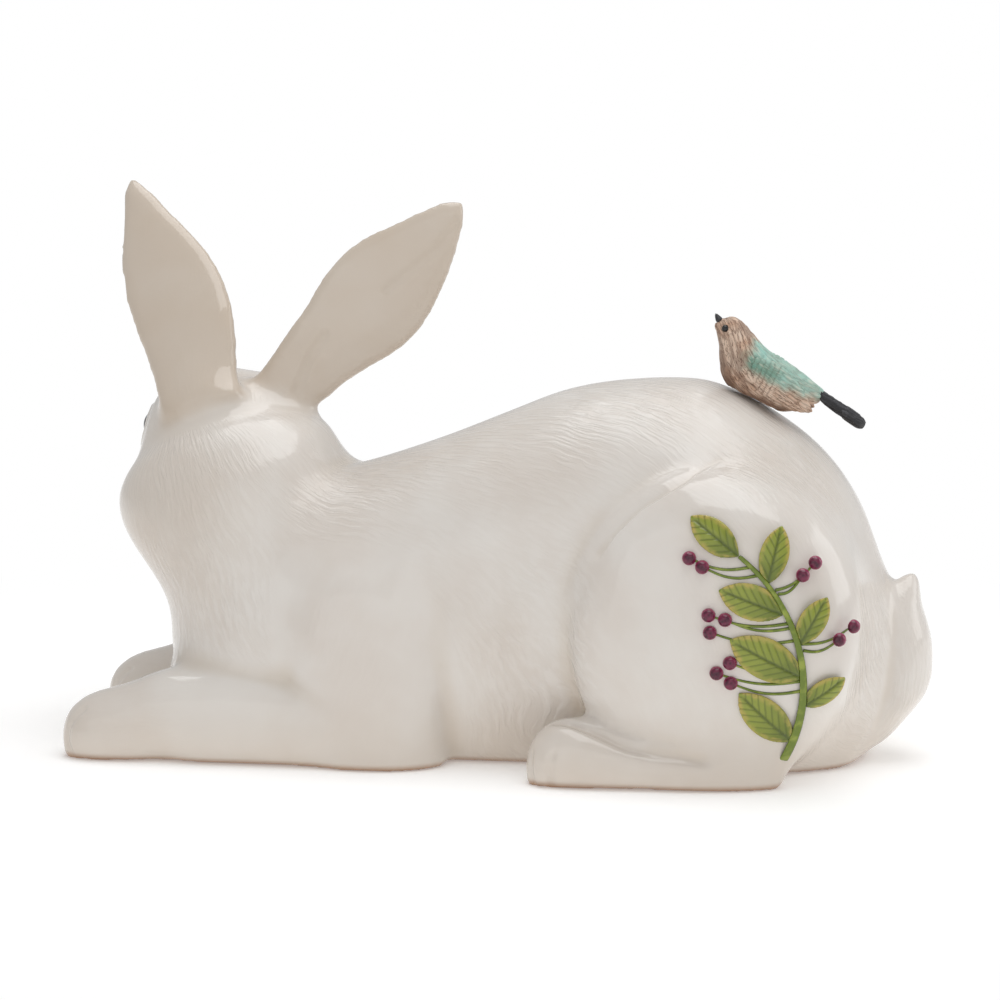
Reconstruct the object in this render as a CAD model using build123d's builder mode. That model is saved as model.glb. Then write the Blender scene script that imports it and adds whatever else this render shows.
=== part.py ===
"""Glazed earthenware rabbit lying down with its head turned back, and a small bird on its rump.

The rabbit faces -X and its left side is -Y. The origin is on the table, in the middle of the base.
Each casting is luted to its neighbour, so it is cut to the neighbour's outer skin.
"""

import math
import os

from build123d import *

os.makedirs("parts", exist_ok=True)

# Driving dimensions, in millimetres and degrees
casting_wall = 5.0
drain_hole_diameter = 16.0
drain_hole_x = 40.0

trunk_length = 283.0
trunk_width = 120.0
back_height = 142.5
chest_x = -130.0

haunch_length = 112.0
haunch_height = 120.0
haunch_bulge = 16.0
haunch_setback = 9.0
haunch_sink = 3.0
haunch_lean = 10.0

neck_width = 86.0
neck_depth = 102.0
neck_rise = 70.0
neck_root_x = 44.0
neck_root_height = 42.0
neck_forward = 21.0
neck_sideways = 12.0
neck_vent_diameter = 14.0

head_length = 88.0
head_width = 73.0
head_height = 72.0
head_turn = 70.0
head_nod = 5.0
head_overhang = 22.0
head_offset = 4.0

left_ear_length = 91.0
right_ear_length = 98.0
ear_width = 40.0
ear_thickness = 10.0
ear_root_depth = 12.0
ear_root_along = 14.0
ear_spread = 17.0
ear_scoop_width = 26.0
ear_scoop_depth = 5.0
left_ear_tilt = -23.0
left_ear_lean = 27.0
right_ear_tilt = 46.0
right_ear_lean = 6.0

eye_diameter = 13.0
eye_stand_out = 2.4
eye_along = 44.0
eye_rise = 7.0

foreleg_length = 146.0
foreleg_height = 35.0
foreleg_width = 34.0
foreleg_inset = 22.0
foreleg_reach = 30.0
upper_arm_height = 92.0
upper_arm_width = 36.0
upper_arm_length = 76.0
upper_arm_overhang = 10.0
shoulder_inset = 16.0
shoulder_forward = 14.0

hind_foot_length = 98.0
hind_foot_height = 24.0
hind_foot_width = 29.0
hind_foot_lead = 13.0
sole_sink = 4.0

tail_height = 72.0
tail_width = 40.0
tail_depth = 31.0
tail_overlap = 18.5

bird_setback = 55.5
bird_length = 49.0
bird_height = 21.0
bird_width = 21.0
bird_wing_length = 31.0
bird_wing_height = 13.0
bird_wing_thickness = 5.0
bird_tail_length = 26.0
bird_tail_width = 8.4
bird_tail_thickness = 4.8
bird_tail_overlap = 8.0
bird_beak_length = 6.6
bird_beak_diameter = 3.6
bird_beak_rise = 38.0
bird_eye_diameter = 2.6
bird_eye_stand_out = 0.7
peg_diameter = 4.0
peg_clearance = 0.1
peg_length_in_bird = 7.0
peg_length_in_back = 9.0

sprig_relief = 1.4
stem_foot_x = 24.0
stem_foot_height = 8.0
stem_top_x = 10.0
stem_top_height = 88.0
stem_bow = 16.0
stem_width = 3.4
stem_tip_width = 1.6
leaf_length = 30.0
leaf_width = 15.0
berry_diameter = 5.2
berry_stand_out = 3.0

# Outlines, as shares of the driving dimensions above
# Trunk ring: along the length, crown over the back height, belly over the back height, width
trunk_rings = [
    (0.005, 0.34, 0.13, 0.24),
    (0.022, 0.44, 0.05, 0.44),
    (0.078, 0.58, -0.04, 0.64),
    (0.160, 0.69, -0.08, 0.77),
    (0.265, 0.76, -0.08, 0.80),
    (0.370, 0.82, -0.09, 0.81),
    (0.495, 0.92, -0.10, 0.87),
    (0.618, 0.99, -0.12, 0.95),
    (0.714, 1.00, -0.13, 1.00),
    (0.813, 0.95, -0.13, 0.97),
    (0.883, 0.84, -0.11, 0.86),
    (0.940, 0.68, -0.04, 0.67),
    (0.978, 0.50, 0.08, 0.43),
    (1.000, 0.40, 0.18, 0.26),
]
trunk_front_height = 0.23
# Round end of a haunch: along the bulge from the trunk's widest place, size of the ring
haunch_rings = [(-1.9, 0.97), (-0.9, 1.00), (0.0, 0.93), (0.45, 0.78), (0.78, 0.53), (0.95, 0.26)]
# Neck ring: along the neck, width, depth
neck_rings = [
    (0.00, 0.98, 0.84),
    (0.25, 1.00, 0.90),
    (0.45, 1.00, 0.92),
    (0.75, 0.95, 0.95),
    (0.92, 0.84, 0.86),
    (1.05, 0.66, 0.68),
    (1.14, 0.42, 0.44),
]
neck_end = 1.19
# Head ring from the nape to the nose: along the length, width, height, drop over the height
head_rings = [
    (0.01, 0.22, 0.22, 0.00),
    (0.05, 0.48, 0.48, 0.00),
    (0.22, 0.86, 0.92, -0.01),
    (0.42, 1.00, 1.00, -0.05),
    (0.60, 0.86, 0.86, -0.10),
    (0.76, 0.60, 0.65, -0.13),
    (0.90, 0.42, 0.47, -0.15),
    (0.97, 0.26, 0.30, -0.16),
    (0.993, 0.13, 0.15, -0.16),
]
nose_drop = -0.16
# Ear ring from the skin to the tip: along the length, width, thickness
left_ear_rings = [
    (0.00, 0.84, 1.00),
    (0.20, 0.90, 0.95),
    (0.38, 0.97, 0.90),
    (0.52, 0.92, 0.80),
    (0.68, 0.70, 0.70),
    (0.82, 0.43, 0.60),
    (0.93, 0.21, 0.45),
]
right_ear_rings = [
    (0.00, 0.76, 1.00),
    (0.20, 0.74, 0.95),
    (0.38, 0.93, 0.90),
    (0.52, 1.00, 0.80),
    (0.68, 0.82, 0.70),
    (0.82, 0.54, 0.60),
    (0.93, 0.26, 0.45),
]
# Foreleg ring from the paw to the elbow: along the length, crown, width
foreleg_rings = [
    (0.005, 0.36, 0.28),
    (0.025, 0.53, 0.58),
    (0.096, 0.71, 0.86),
    (0.193, 0.84, 0.88),
    (0.344, 0.98, 0.94),
    (0.548, 1.00, 1.00),
    (0.757, 1.05, 1.05),
    (0.900, 0.98, 0.96),
    (0.968, 0.66, 0.62),
]
paw_tip_height = 0.26
elbow_height = 0.34
# Upper arm ring from the table to the shoulder: up the height, length, width, lean to the shoulder
upper_arm_rings = [
    (-0.05, 0.74, 0.94, 0.00),
    (0.12, 0.79, 1.00, 0.00),
    (0.35, 0.90, 1.00, 0.00),
    (0.60, 1.00, 1.00, 0.12),
    (0.80, 0.90, 0.86, 0.40),
    (0.92, 0.62, 0.56, 0.75),
    (0.98, 0.30, 0.28, 0.94),
]
# Hind foot ring from the toes to the heel: along the length, crown, width
hind_foot_rings = [
    (0.008, 0.50, 0.34),
    (0.035, 0.72, 0.68),
    (0.150, 1.00, 1.00),
    (0.310, 0.92, 1.00),
    (0.560, 0.83, 0.93),
    (0.820, 0.74, 0.82),
    (0.950, 0.55, 0.48),
]
toe_height = 0.36
heel_height = 0.30
# Tail ring from the table to the tip: up the height, depth, width, lean over the depth
tail_rings = [
    (0.01, 0.10, 0.12, 0.00),
    (0.03, 0.26, 0.30, 0.00),
    (0.09, 0.50, 0.56, 0.00),
    (0.26, 0.86, 0.90, 0.00),
    (0.50, 1.00, 1.00, 0.00),
    (0.70, 0.86, 0.84, 0.04),
    (0.86, 0.57, 0.55, 0.12),
    (0.95, 0.29, 0.30, 0.21),
    (1.00, 0.08, 0.08, 0.26),
]
# Bird ring from the throat to the rump: along the length, underside and crown, width
bird_rings = [
    (0.03, 0.80, 1.04, 0.24),
    (0.09, 0.62, 1.15, 0.47),
    (0.17, 0.28, 1.17, 0.60),
    (0.29, 0.02, 1.06, 0.81),
    (0.43, -0.07, 0.92, 1.00),
    (0.63, -0.07, 0.86, 0.98),
    (0.78, 0.05, 0.81, 0.76),
    (0.92, 0.31, 0.73, 0.43),
]
bird_front = -0.53
bird_throat_height = 0.92
bird_rump_height = 0.58
bird_tail_rise = 0.60
bird_beak_place = (0.05, 0.94)
bird_eye_place = (0.09, 0.94)
# Wing ring from the shoulder to the tip: along the wing, size, height of its middle, distance out
wing_rings = [
    (0.13, 0.70, 0.58, 0.88),
    (0.42, 1.00, 0.50, 0.95),
    (0.68, 0.80, 0.41, 0.78),
    (0.87, 0.43, 0.34, 0.62),
]
wing_shoulder = (-0.18, 0.60, 0.78)
wing_tip = (0.30, 0.56)
# Bird's tail ring from the rump to the end: along the tail, width, thickness
bird_tail_rings = [(0.0, 0.70, 1.0), (0.5, 0.84, 1.0), (1.0, 1.0, 0.94)]
# Leaf on the sprig: place up the stem, side of the stem, angle to the stem, size
sprig_leaves = [
    (0.14, 1, 66.0, 0.90),
    (0.30, -1, 50.0, 0.60),
    (0.42, 1, 58.0, 1.00),
    (0.56, -1, 46.0, 0.66),
    (0.70, 1, 44.0, 0.85),
    (0.84, -1, 52.0, 0.70),
    (1.00, 1, 0.0, 0.75),
]
# Berry on the sprig: place up the stem, side of the stem, distance out and rise over the leaf length
sprig_berries = [
    (0.30, 1, 0.85, 0.30),
    (0.30, 1, 1.02, 0.42),
    (0.30, 1, 0.86, 0.55),
    (0.56, -1, 0.48, 0.04),
    (0.56, -1, 0.64, 0.18),
    (0.70, 1, 0.72, -0.08),
    (0.70, 1, 0.92, -0.03),
    (0.70, 1, 0.90, -0.24),
    (0.90, 1, 0.66, 0.06),
    (0.90, 1, 0.82, 0.16),
    (0.84, -1, 0.42, 0.10),
    (0.84, -1, 0.56, 0.24),
]


def rounded_form(rings, first=None, last=None):
    """Smooth solid through elliptical rings, each a plane and two radii, run out to a point at an end."""
    sections = []
    with BuildPart() as form:
        for plane, radius_x, radius_y in rings:
            with BuildSketch(plane, mode=Mode.PRIVATE) as ring:
                Ellipse(radius_x, radius_y)
            sections.append(ring.sketch)
        if first is not None:
            sections.insert(0, Vertex(*first))
        if last is not None:
            sections.append(Vertex(*last))
        loft(sections=sections)
    return form.part


def above(solid, height=0):
    """The part of a solid that stands above a height over the table."""
    with BuildPart() as standing:
        add(solid)
        split(bisect_by=Plane.XY.offset(height), keep=Keep.TOP)
    return standing.part


def mirrored(solid):
    """The same piece on the other side of the rabbit."""
    with BuildPart() as other:
        mirror(solid, about=Plane.XZ)
    return other.part


def skin_point(solid, start, outward):
    """Outermost point of a solid's skin, seen from a place inside it."""
    points = [point for point, _ in solid.find_intersection_points(Axis(start, outward))]
    return max(points, key=lambda point: (point - start).dot(outward))


def bead(solid, start, outward, diameter, stand_out):
    """Round bead let into a solid's skin, so that it stands out of it a little."""
    middle = skin_point(solid, start, outward) - outward * (diameter / 2 - stand_out)
    with BuildPart() as round_bead:
        with Locations(middle):
            Sphere(diameter / 2)
    return round_bead.part


def save(part, name):
    """Write one finished piece under its own name."""
    part.label = name
    export_step(part, f"parts/{name}.step")


# Trunk, from the chest to the rump
def trunk_form(inset):
    """Trunk with its skin moved in by inset."""
    rings = []
    for along, crown, belly, width in trunk_rings:
        place = chest_x + inset + along * (trunk_length - 2 * inset)
        middle = (crown + belly) / 2 * back_height
        plane = Plane((place, 0, middle), x_dir=(0, 1, 0), z_dir=(1, 0, 0))
        half_width = width * (trunk_width / 2 - inset)
        half_height = (crown - belly) * (back_height / 2 - inset)
        rings.append((plane, half_width, half_height))
    front = (chest_x + inset, 0, trunk_front_height * back_height)
    return rounded_form(rings, front)


rump_x = chest_x + trunk_length
widest_y = trunk_width / 2
haunch_x = rump_x - haunch_setback - haunch_length / 2
haunch_middle = haunch_height / 2 - haunch_sink


# Left haunch, a round thigh that stands out of the trunk's side
def haunch_form(inset):
    """Left haunch with its skin moved in by inset, or out where inset is negative."""
    lean = math.radians(haunch_lean)
    leaning = (math.cos(lean), 0, -math.sin(lean))
    bulge = haunch_bulge - inset
    rings = []
    for along, size in haunch_rings:
        middle = (haunch_x, -widest_y - along * bulge, haunch_middle)
        plane = Plane(middle, x_dir=leaning, z_dir=(0, -1, 0))
        rings.append((plane, size * (haunch_length / 2 - inset), size * (haunch_height / 2 - inset)))
    return rounded_form(rings, last=(haunch_x, -widest_y - bulge, haunch_middle))


neck_root = Vector(chest_x + neck_root_x, 0, neck_root_height)
neck_top = neck_root + Vector(-neck_forward, neck_sideways, neck_rise)
neck_axis = neck_top - neck_root


# Neck, from inside the chest to inside the head
def neck_form(inset):
    """Neck with its skin moved in by inset."""
    reach = neck_axis - neck_axis.normalized() * (inset / neck_end)
    rings = []
    for along, width, depth in neck_rings:
        plane = Plane(neck_root + reach * along, x_dir=(0, 1, 0), z_dir=neck_axis)
        rings.append((plane, width * (neck_width / 2 - inset), depth * (neck_depth / 2 - inset)))
    return rounded_form(rings, last=tuple(neck_root + reach * neck_end))


# Head frame: its X is along the face, its Y to the rabbit's left, its Z to the crown
turn = math.radians(head_turn)
nod = math.radians(head_nod)
facing = Vector(-math.cos(turn) * math.cos(nod), math.sin(turn) * math.cos(nod), -math.sin(nod))
to_left = Vector(-math.sin(turn), -math.cos(turn), 0)
nape = neck_top - facing * head_overhang - to_left * head_offset
head_plane = Plane(nape, x_dir=facing, z_dir=facing.cross(to_left))


def in_head(along, left, up):
    """Place in the head's own frame."""
    return head_plane.from_local_coords((along, left, up))


def head_form(inset):
    """Head with its skin moved in by inset."""
    rings = []
    for along, width, height, drop in head_rings:
        middle = in_head(inset + along * (head_length - 2 * inset), 0, drop * head_height)
        plane = Plane(middle, x_dir=to_left, z_dir=facing)
        rings.append((plane, width * (head_width / 2 - inset), height * (head_height / 2 - inset)))
    back = in_head(inset, 0, 0)
    nose = in_head(head_length - inset, 0, nose_drop * head_height)
    return rounded_form(rings, tuple(back), tuple(nose))


# Outer skins, which the neighbours are cut to
left_haunch_skin = above(haunch_form(0))

with BuildPart() as body_skin:
    add(above(trunk_form(0)))
    add(left_haunch_skin)
    add(mirrored(left_haunch_skin))
    add(neck_form(0))

head_skin = head_form(0)

# Bird's seat: the top of the back, with the bird lying along the slope there
upward = Vector(0, 0, 1)
bird_x = rump_x - bird_setback
seat_front = skin_point(body_skin.part, Vector(bird_x - bird_length / 4, 0, 0), upward)
seat_rear = skin_point(body_skin.part, Vector(bird_x + bird_length / 4, 0, 0), upward)
slope = (seat_rear - seat_front).normalized()
bird_plane = Plane((seat_front + seat_rear) * 0.5, x_dir=slope, z_dir=(-slope.Z, 0, slope.X))


def in_bird(along, right, up):
    """Place in the bird's own frame, which has its origin on the seat and its X to the tail."""
    return bird_plane.from_local_coords((along, right, up))


# Peg that holds the bird, let into the back below it
peg_plane = Plane(in_bird(0, 0, -peg_length_in_back), x_dir=(0, 1, 0), z_dir=bird_plane.z_dir)
peg_length = peg_length_in_back + peg_length_in_bird

with BuildPart() as bird_peg:
    with BuildSketch(peg_plane):
        Circle(peg_diameter / 2)
    extrude(amount=peg_length)
save(bird_peg.part, "bird_peg")

with BuildPart() as peg_hole:
    with BuildSketch(peg_plane):
        Circle(peg_diameter / 2 + peg_clearance)
    extrude(amount=peg_length)

# Body: one hollow casting of trunk, haunches and neck, with a drain hole in its base
haunch_hollow = haunch_form(casting_wall)

with BuildPart() as body_hollow:
    add(trunk_form(casting_wall))
    add(haunch_hollow)
    add(mirrored(haunch_hollow))
    add(neck_form(casting_wall))
    split(bisect_by=Plane.XY.offset(casting_wall), keep=Keep.TOP)

with BuildPart() as body_casting:
    add(body_skin.part)
    add(body_hollow.part, mode=Mode.SUBTRACT)
    with Locations((drain_hole_x, 0, casting_wall / 2)):
        Cylinder(drain_hole_diameter / 2, 2 * casting_wall, mode=Mode.SUBTRACT)
    with BuildSketch(Plane(neck_top, x_dir=(0, 1, 0), z_dir=neck_axis)):
        Circle(neck_vent_diameter / 2)
    extrude(amount=neck_rise, mode=Mode.SUBTRACT)
    add(peg_hole.part, mode=Mode.SUBTRACT)
save(body_casting.part, "body_casting")

# Eyes: clay beads let into both sides of the head
eye_start = in_head(eye_along, 0, eye_rise)
eyes = []
for name, outward in [("left_eye", to_left), ("right_eye", -to_left)]:
    with BuildPart() as eye:
        add(bead(head_skin, eye_start, outward, eye_diameter, eye_stand_out))
        add(body_skin.part, mode=Mode.SUBTRACT)
    save(eye.part, name)
    eyes.append(eye.part)

# Head: a hollow casting that sits over the neck's end
with BuildPart() as head_casting:
    add(head_skin)
    add(head_form(casting_wall), mode=Mode.SUBTRACT)
    add(body_skin.part, mode=Mode.SUBTRACT)
    add(eyes, mode=Mode.SUBTRACT)
save(head_casting.part, "head_casting")


# Ears: leaf-shaped castings, scooped out on the side that faces forward
def ear_form(side, tilt, lean, length, outline):
    """One ear on the skull, to the left for side 1 and to the right for side -1."""
    root = skin_point(head_skin, in_head(ear_root_along, side * ear_spread, 0), head_plane.z_dir)
    tilt = math.radians(tilt)
    lean = math.radians(lean)
    pointing = Vector(math.sin(tilt) * math.cos(lean), math.sin(lean), math.cos(tilt) * math.cos(lean))
    plane = Plane(root, x_dir=Vector(0, 1, 0).cross(pointing), z_dir=pointing)
    _, root_width, root_thickness = outline[0]
    root_plane = plane.offset(-ear_root_depth)
    rings = [(root_plane, root_width * ear_width / 2, root_thickness * ear_thickness / 2)]
    scoop = []
    for along, width, thickness in outline:
        ring_plane = plane.offset(along * length)
        rings.append((ring_plane, width * ear_width / 2, thickness * ear_thickness / 2))
        mouth_plane = Plane(ring_plane.from_local_coords((0, thickness * ear_thickness / 2, 0)),
                            x_dir=plane.x_dir, z_dir=plane.z_dir)
        scoop.append((mouth_plane, width * ear_scoop_width / 2, thickness * ear_scoop_depth))
    with BuildPart() as ear:
        add(rounded_form(rings, last=tuple(plane.from_local_coords((0, 0, length)))))
        add(rounded_form(scoop[1:]), mode=Mode.SUBTRACT)
        add(head_skin, mode=Mode.SUBTRACT)
        add(body_skin.part, mode=Mode.SUBTRACT)
    return ear.part


left_ear = ear_form(1, left_ear_tilt, left_ear_lean, left_ear_length, left_ear_rings)
with BuildPart() as right_ear:
    add(ear_form(-1, right_ear_tilt, right_ear_lean, right_ear_length, right_ear_rings))
    add(left_ear, mode=Mode.SUBTRACT)
save(left_ear, "left_ear")
save(right_ear.part, "right_ear")


def lying_form(start_x, length, side_y, height, width, rings, first_height, last_height):
    """Limb along the table from start_x towards +X, sunk below the table for a flat sole."""
    limb_rings = []
    for along, crown, ring_width in rings:
        middle = (start_x + along * length, side_y, (crown * height - sole_sink) / 2)
        plane = Plane(middle, x_dir=(0, 1, 0), z_dir=(1, 0, 0))
        limb_rings.append((plane, ring_width * width / 2, (crown * height + sole_sink) / 2))
    first = (start_x, side_y, first_height * height)
    last = (start_x + length, side_y, last_height * height)
    return above(rounded_form(limb_rings, first, last))


# Forelegs: forearm stretched along the table, with the upper arm standing on it
paw_x = chest_x - foreleg_reach
foreleg_y = foreleg_inset - widest_y
arm_x = paw_x + foreleg_length + upper_arm_overhang - upper_arm_length / 2
arm_rings = []
for up, length, width, lean in upper_arm_rings:
    middle = (arm_x - lean * shoulder_forward, foreleg_y + lean * shoulder_inset, up * upper_arm_height)
    plane = Plane(middle)
    arm_rings.append((plane, length * upper_arm_length / 2, width * upper_arm_width / 2))
shoulder_top = (arm_x - shoulder_forward, foreleg_y + shoulder_inset, upper_arm_height)

with BuildPart() as foreleg_skin:
    add(lying_form(paw_x, foreleg_length, foreleg_y, foreleg_height, foreleg_width,
                   foreleg_rings, paw_tip_height, elbow_height))
    add(above(rounded_form(arm_rings, last=shoulder_top)))

with BuildPart() as left_foreleg:
    add(foreleg_skin.part)
    add(body_skin.part, mode=Mode.SUBTRACT)
save(left_foreleg.part, "left_foreleg")

with BuildPart() as right_foreleg:
    add(mirrored(foreleg_skin.part))
    add(body_skin.part, mode=Mode.SUBTRACT)
save(right_foreleg.part, "right_foreleg")

# Hind feet: long feet under the haunches, toes forward
toe_x = haunch_x - haunch_length / 2 - hind_foot_lead

with BuildPart() as left_hind_foot:
    add(lying_form(toe_x, hind_foot_length, -widest_y, hind_foot_height, hind_foot_width,
                   hind_foot_rings, toe_height, heel_height))
    add(body_skin.part, mode=Mode.SUBTRACT)
    add(left_foreleg.part, mode=Mode.SUBTRACT)
save(left_hind_foot.part, "left_hind_foot")
save(mirrored(left_hind_foot.part), "right_hind_foot")

# Tail: a puff that stands up against the rump, with a tip that turns out
tail_x = rump_x - tail_overlap + tail_depth / 2
puff_rings = []
for up, depth, width, lean in tail_rings:
    plane = Plane((tail_x + lean * tail_depth, 0, up * tail_height))
    puff_rings.append((plane, depth * tail_depth / 2, width * tail_width / 2))

with BuildPart() as tail:
    add(rounded_form(puff_rings))
    add(body_skin.part, mode=Mode.SUBTRACT)
save(tail.part, "tail")


# Bird: body with its head raised, wings, tail, beak and eyes
def bird_ring(along, right, up, width, height):
    """Upright ring across the bird about a place in its frame."""
    return Plane(in_bird(along, right, up), x_dir=(0, 1, 0), z_dir=slope), width / 2, height / 2


bird_front_x = bird_front * bird_length
body_rings = []
for along, underside, crown, width in bird_rings:
    middle = (underside + crown) / 2 * bird_height
    ring_height = (crown - underside) * bird_height
    place = bird_front_x + along * bird_length
    body_rings.append(bird_ring(place, 0, middle, width * bird_width, ring_height))
bird_throat = in_bird(bird_front_x, 0, bird_throat_height * bird_height)
bird_rump = in_bird(bird_front_x + bird_length, 0, bird_rump_height * bird_height)
bird_skin = rounded_form(body_rings, tuple(bird_throat), tuple(bird_rump))

eye_share, eye_up = bird_eye_place
bird_eye_start = in_bird(bird_front_x + eye_share * bird_length, 0, eye_up * bird_height)
rightward = Vector(0, 1, 0)
bird_left_eye = bead(bird_skin, bird_eye_start, -rightward, bird_eye_diameter, bird_eye_stand_out)
bird_right_eye = bead(bird_skin, bird_eye_start, rightward, bird_eye_diameter, bird_eye_stand_out)
save(bird_left_eye, "bird_left_eye")
save(bird_right_eye, "bird_right_eye")

with BuildPart() as bird_body:
    add(bird_skin)
    add(body_skin.part, mode=Mode.SUBTRACT)
    add(peg_hole.part, mode=Mode.SUBTRACT)
    add(bird_left_eye, mode=Mode.SUBTRACT)
    add(bird_right_eye, mode=Mode.SUBTRACT)
save(bird_body.part, "bird_body")

shoulder_share, shoulder_up, shoulder_out = wing_shoulder
tip_up, tip_out = wing_tip
wing_x = shoulder_share * bird_length
left_wing_rings = []
for along, size, up, out in wing_rings:
    place = wing_x + along * bird_wing_length
    left_wing_rings.append(bird_ring(place, -out * bird_width / 2, up * bird_height,
                                     size * bird_wing_thickness, size * bird_wing_height))
shoulder = in_bird(wing_x, -shoulder_out * bird_width / 2, shoulder_up * bird_height)
wing_end = in_bird(wing_x + bird_wing_length, -tip_out * bird_width / 2, tip_up * bird_height)

with BuildPart() as bird_left_wing:
    add(rounded_form(left_wing_rings, tuple(shoulder), tuple(wing_end)))
    add(bird_skin, mode=Mode.SUBTRACT)
    add(body_skin.part, mode=Mode.SUBTRACT)
save(bird_left_wing.part, "bird_left_wing")
save(mirrored(bird_left_wing.part), "bird_right_wing")

bird_tail_x = bird_front_x + bird_length - bird_tail_overlap
tail_feathers = []
for along, width, thickness in bird_tail_rings:
    place = bird_tail_x + along * bird_tail_length
    tail_feathers.append(bird_ring(place, 0, bird_tail_rise * bird_height,
                                   width * bird_tail_width, thickness * bird_tail_thickness))

with BuildPart() as bird_tail:
    add(rounded_form(tail_feathers))
    add(bird_skin, mode=Mode.SUBTRACT)
save(bird_tail.part, "bird_tail")

beak_share, beak_up = bird_beak_place
beak_root = in_bird(bird_front_x + beak_share * bird_length, 0, beak_up * bird_height)
beak_angle = math.radians(bird_beak_rise)
beak_way = bird_plane.z_dir * math.sin(beak_angle) - slope * math.cos(beak_angle)
beak_tip = beak_root + beak_way * bird_beak_length

with BuildPart() as bird_beak:
    with BuildSketch(Plane(beak_root, x_dir=(0, 1, 0), z_dir=beak_way)):
        Circle(bird_beak_diameter / 2)
    loft(sections=[bird_beak.pending_faces[0], Vertex(*tuple(beak_tip))])
    add(bird_skin, mode=Mode.SUBTRACT)
save(bird_beak.part, "bird_beak")

# Sprig: a raised stem with leaves and berries, on the skin of the left haunch
stem_foot = Vector(haunch_x + stem_foot_x, stem_foot_height)
stem_top = Vector(haunch_x + stem_top_x, stem_top_height)
stem_chord = stem_top - stem_foot
stem_middle = (stem_foot + stem_top) * 0.5 + stem_chord.normalized().rotate(Axis.Z, -90) * stem_bow
stem_line = ThreePointArc(stem_foot, stem_middle, stem_top)

with BuildPart() as relief:
    add(above(haunch_form(-sprig_relief)))
    add(body_skin.part, mode=Mode.SUBTRACT)
    add(left_hind_foot.part, mode=Mode.SUBTRACT)


def beside_stem(share, offset):
    """Place beside the stem's middle line, to its left for a positive offset."""
    return stem_line @ share + (stem_line % share).rotate(Axis.Z, 90) * offset


def on_haunch(edges):
    """Raised figure on the left haunch inside a closed outline."""
    with BuildPart() as figure:
        with BuildSketch(Plane.XZ):
            with BuildLine():
                add(edges)
            make_face()
        extrude(amount=trunk_width)
        add(relief.part, mode=Mode.INTERSECT)
    return figure.part


foot_left, foot_right = beside_stem(0, stem_width / 2), beside_stem(0, -stem_width / 2)
top_left, top_right = beside_stem(1, stem_tip_width / 2), beside_stem(1, -stem_tip_width / 2)
stem_half = (stem_width + stem_tip_width) / 4
sprig_stem = on_haunch([
    ThreePointArc(foot_left, beside_stem(0.5, stem_half), top_left),
    Line(top_left, top_right),
    ThreePointArc(top_right, beside_stem(0.5, -stem_half), foot_right),
    Line(foot_right, foot_left),
])
save(sprig_stem, "sprig_stem")

for number, (share, side, angle, size) in enumerate(sprig_leaves, start=1):
    base = stem_line @ share
    way = (stem_line % share).rotate(Axis.Z, side * angle)
    tip = base + way * (size * leaf_length)
    bulge = way.rotate(Axis.Z, 90) * (size * leaf_width / 2)
    middle = (base + tip) * 0.5
    outline = [ThreePointArc(base, middle + bulge, tip), ThreePointArc(tip, middle - bulge, base)]
    with BuildPart() as leaf:
        add(on_haunch(outline))
        add(sprig_stem, mode=Mode.SUBTRACT)
    save(leaf.part, f"sprig_leaf_{number}")

with BuildPart() as berries:
    for share, side, out, rise in sprig_berries:
        place = stem_line @ share + Vector(-side * out * leaf_length, rise * leaf_length)
        start = Vector(place.X, 0, place.Y)
        add(bead(body_skin.part, start, -rightward, berry_diameter, berry_stand_out))
    add(body_skin.part, mode=Mode.SUBTRACT)
save(berries.part, "sprig_berries")
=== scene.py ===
import math
from contextlib import contextmanager

import bpy
import numpy as np
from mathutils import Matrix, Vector, noise
from mathutils.kdtree import KDTree


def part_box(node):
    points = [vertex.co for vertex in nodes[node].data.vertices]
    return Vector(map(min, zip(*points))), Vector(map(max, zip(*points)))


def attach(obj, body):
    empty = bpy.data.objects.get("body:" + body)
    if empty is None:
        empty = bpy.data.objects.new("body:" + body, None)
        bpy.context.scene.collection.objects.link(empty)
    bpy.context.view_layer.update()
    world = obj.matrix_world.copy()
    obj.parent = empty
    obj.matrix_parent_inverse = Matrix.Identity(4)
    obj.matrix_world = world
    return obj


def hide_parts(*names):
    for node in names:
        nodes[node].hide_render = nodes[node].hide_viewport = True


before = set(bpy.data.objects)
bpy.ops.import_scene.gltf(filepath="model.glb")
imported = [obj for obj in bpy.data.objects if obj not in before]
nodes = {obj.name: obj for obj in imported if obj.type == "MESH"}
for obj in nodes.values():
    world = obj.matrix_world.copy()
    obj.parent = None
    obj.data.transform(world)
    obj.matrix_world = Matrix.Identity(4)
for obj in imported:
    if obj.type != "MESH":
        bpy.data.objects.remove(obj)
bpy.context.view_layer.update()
scene = bpy.context.scene
mm = 0.001  # places below are in millimetres, as on the drawing
print("frame loaded:", len(nodes), "solids")


# small helpers for picking, reading and finishing pieces
def pickOnly(*pieces):
    bpy.ops.object.select_all(action="DESELECT")
    for piece in pieces:
        piece.select_set(True)
    bpy.context.view_layer.objects.active = pieces[0]


@contextmanager
def editing(piece, select="SELECT"):
    # edit mode for a few tools, with everything, nothing or (None) what was chosen before selected
    pickOnly(piece)
    bpy.ops.object.mode_set(mode="EDIT")
    if select:
        bpy.ops.mesh.select_all(action=select)
    yield
    bpy.ops.object.mode_set(mode="OBJECT")


def applyModifier(piece, kind, **settings):
    pickOnly(piece)
    modifier = piece.modifiers.new(kind.lower(), kind)
    for key, value in settings.items():
        setattr(modifier, key, value)
    bpy.ops.object.modifier_apply(modifier=modifier.name)


def mergeDoubles(piece):
    with editing(piece):
        bpy.ops.mesh.remove_doubles(threshold=0.01 * mm)


def separate(piece, kind):
    with editing(piece):
        bpy.ops.mesh.separate(type=kind)
    return list(bpy.context.selected_objects)


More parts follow.
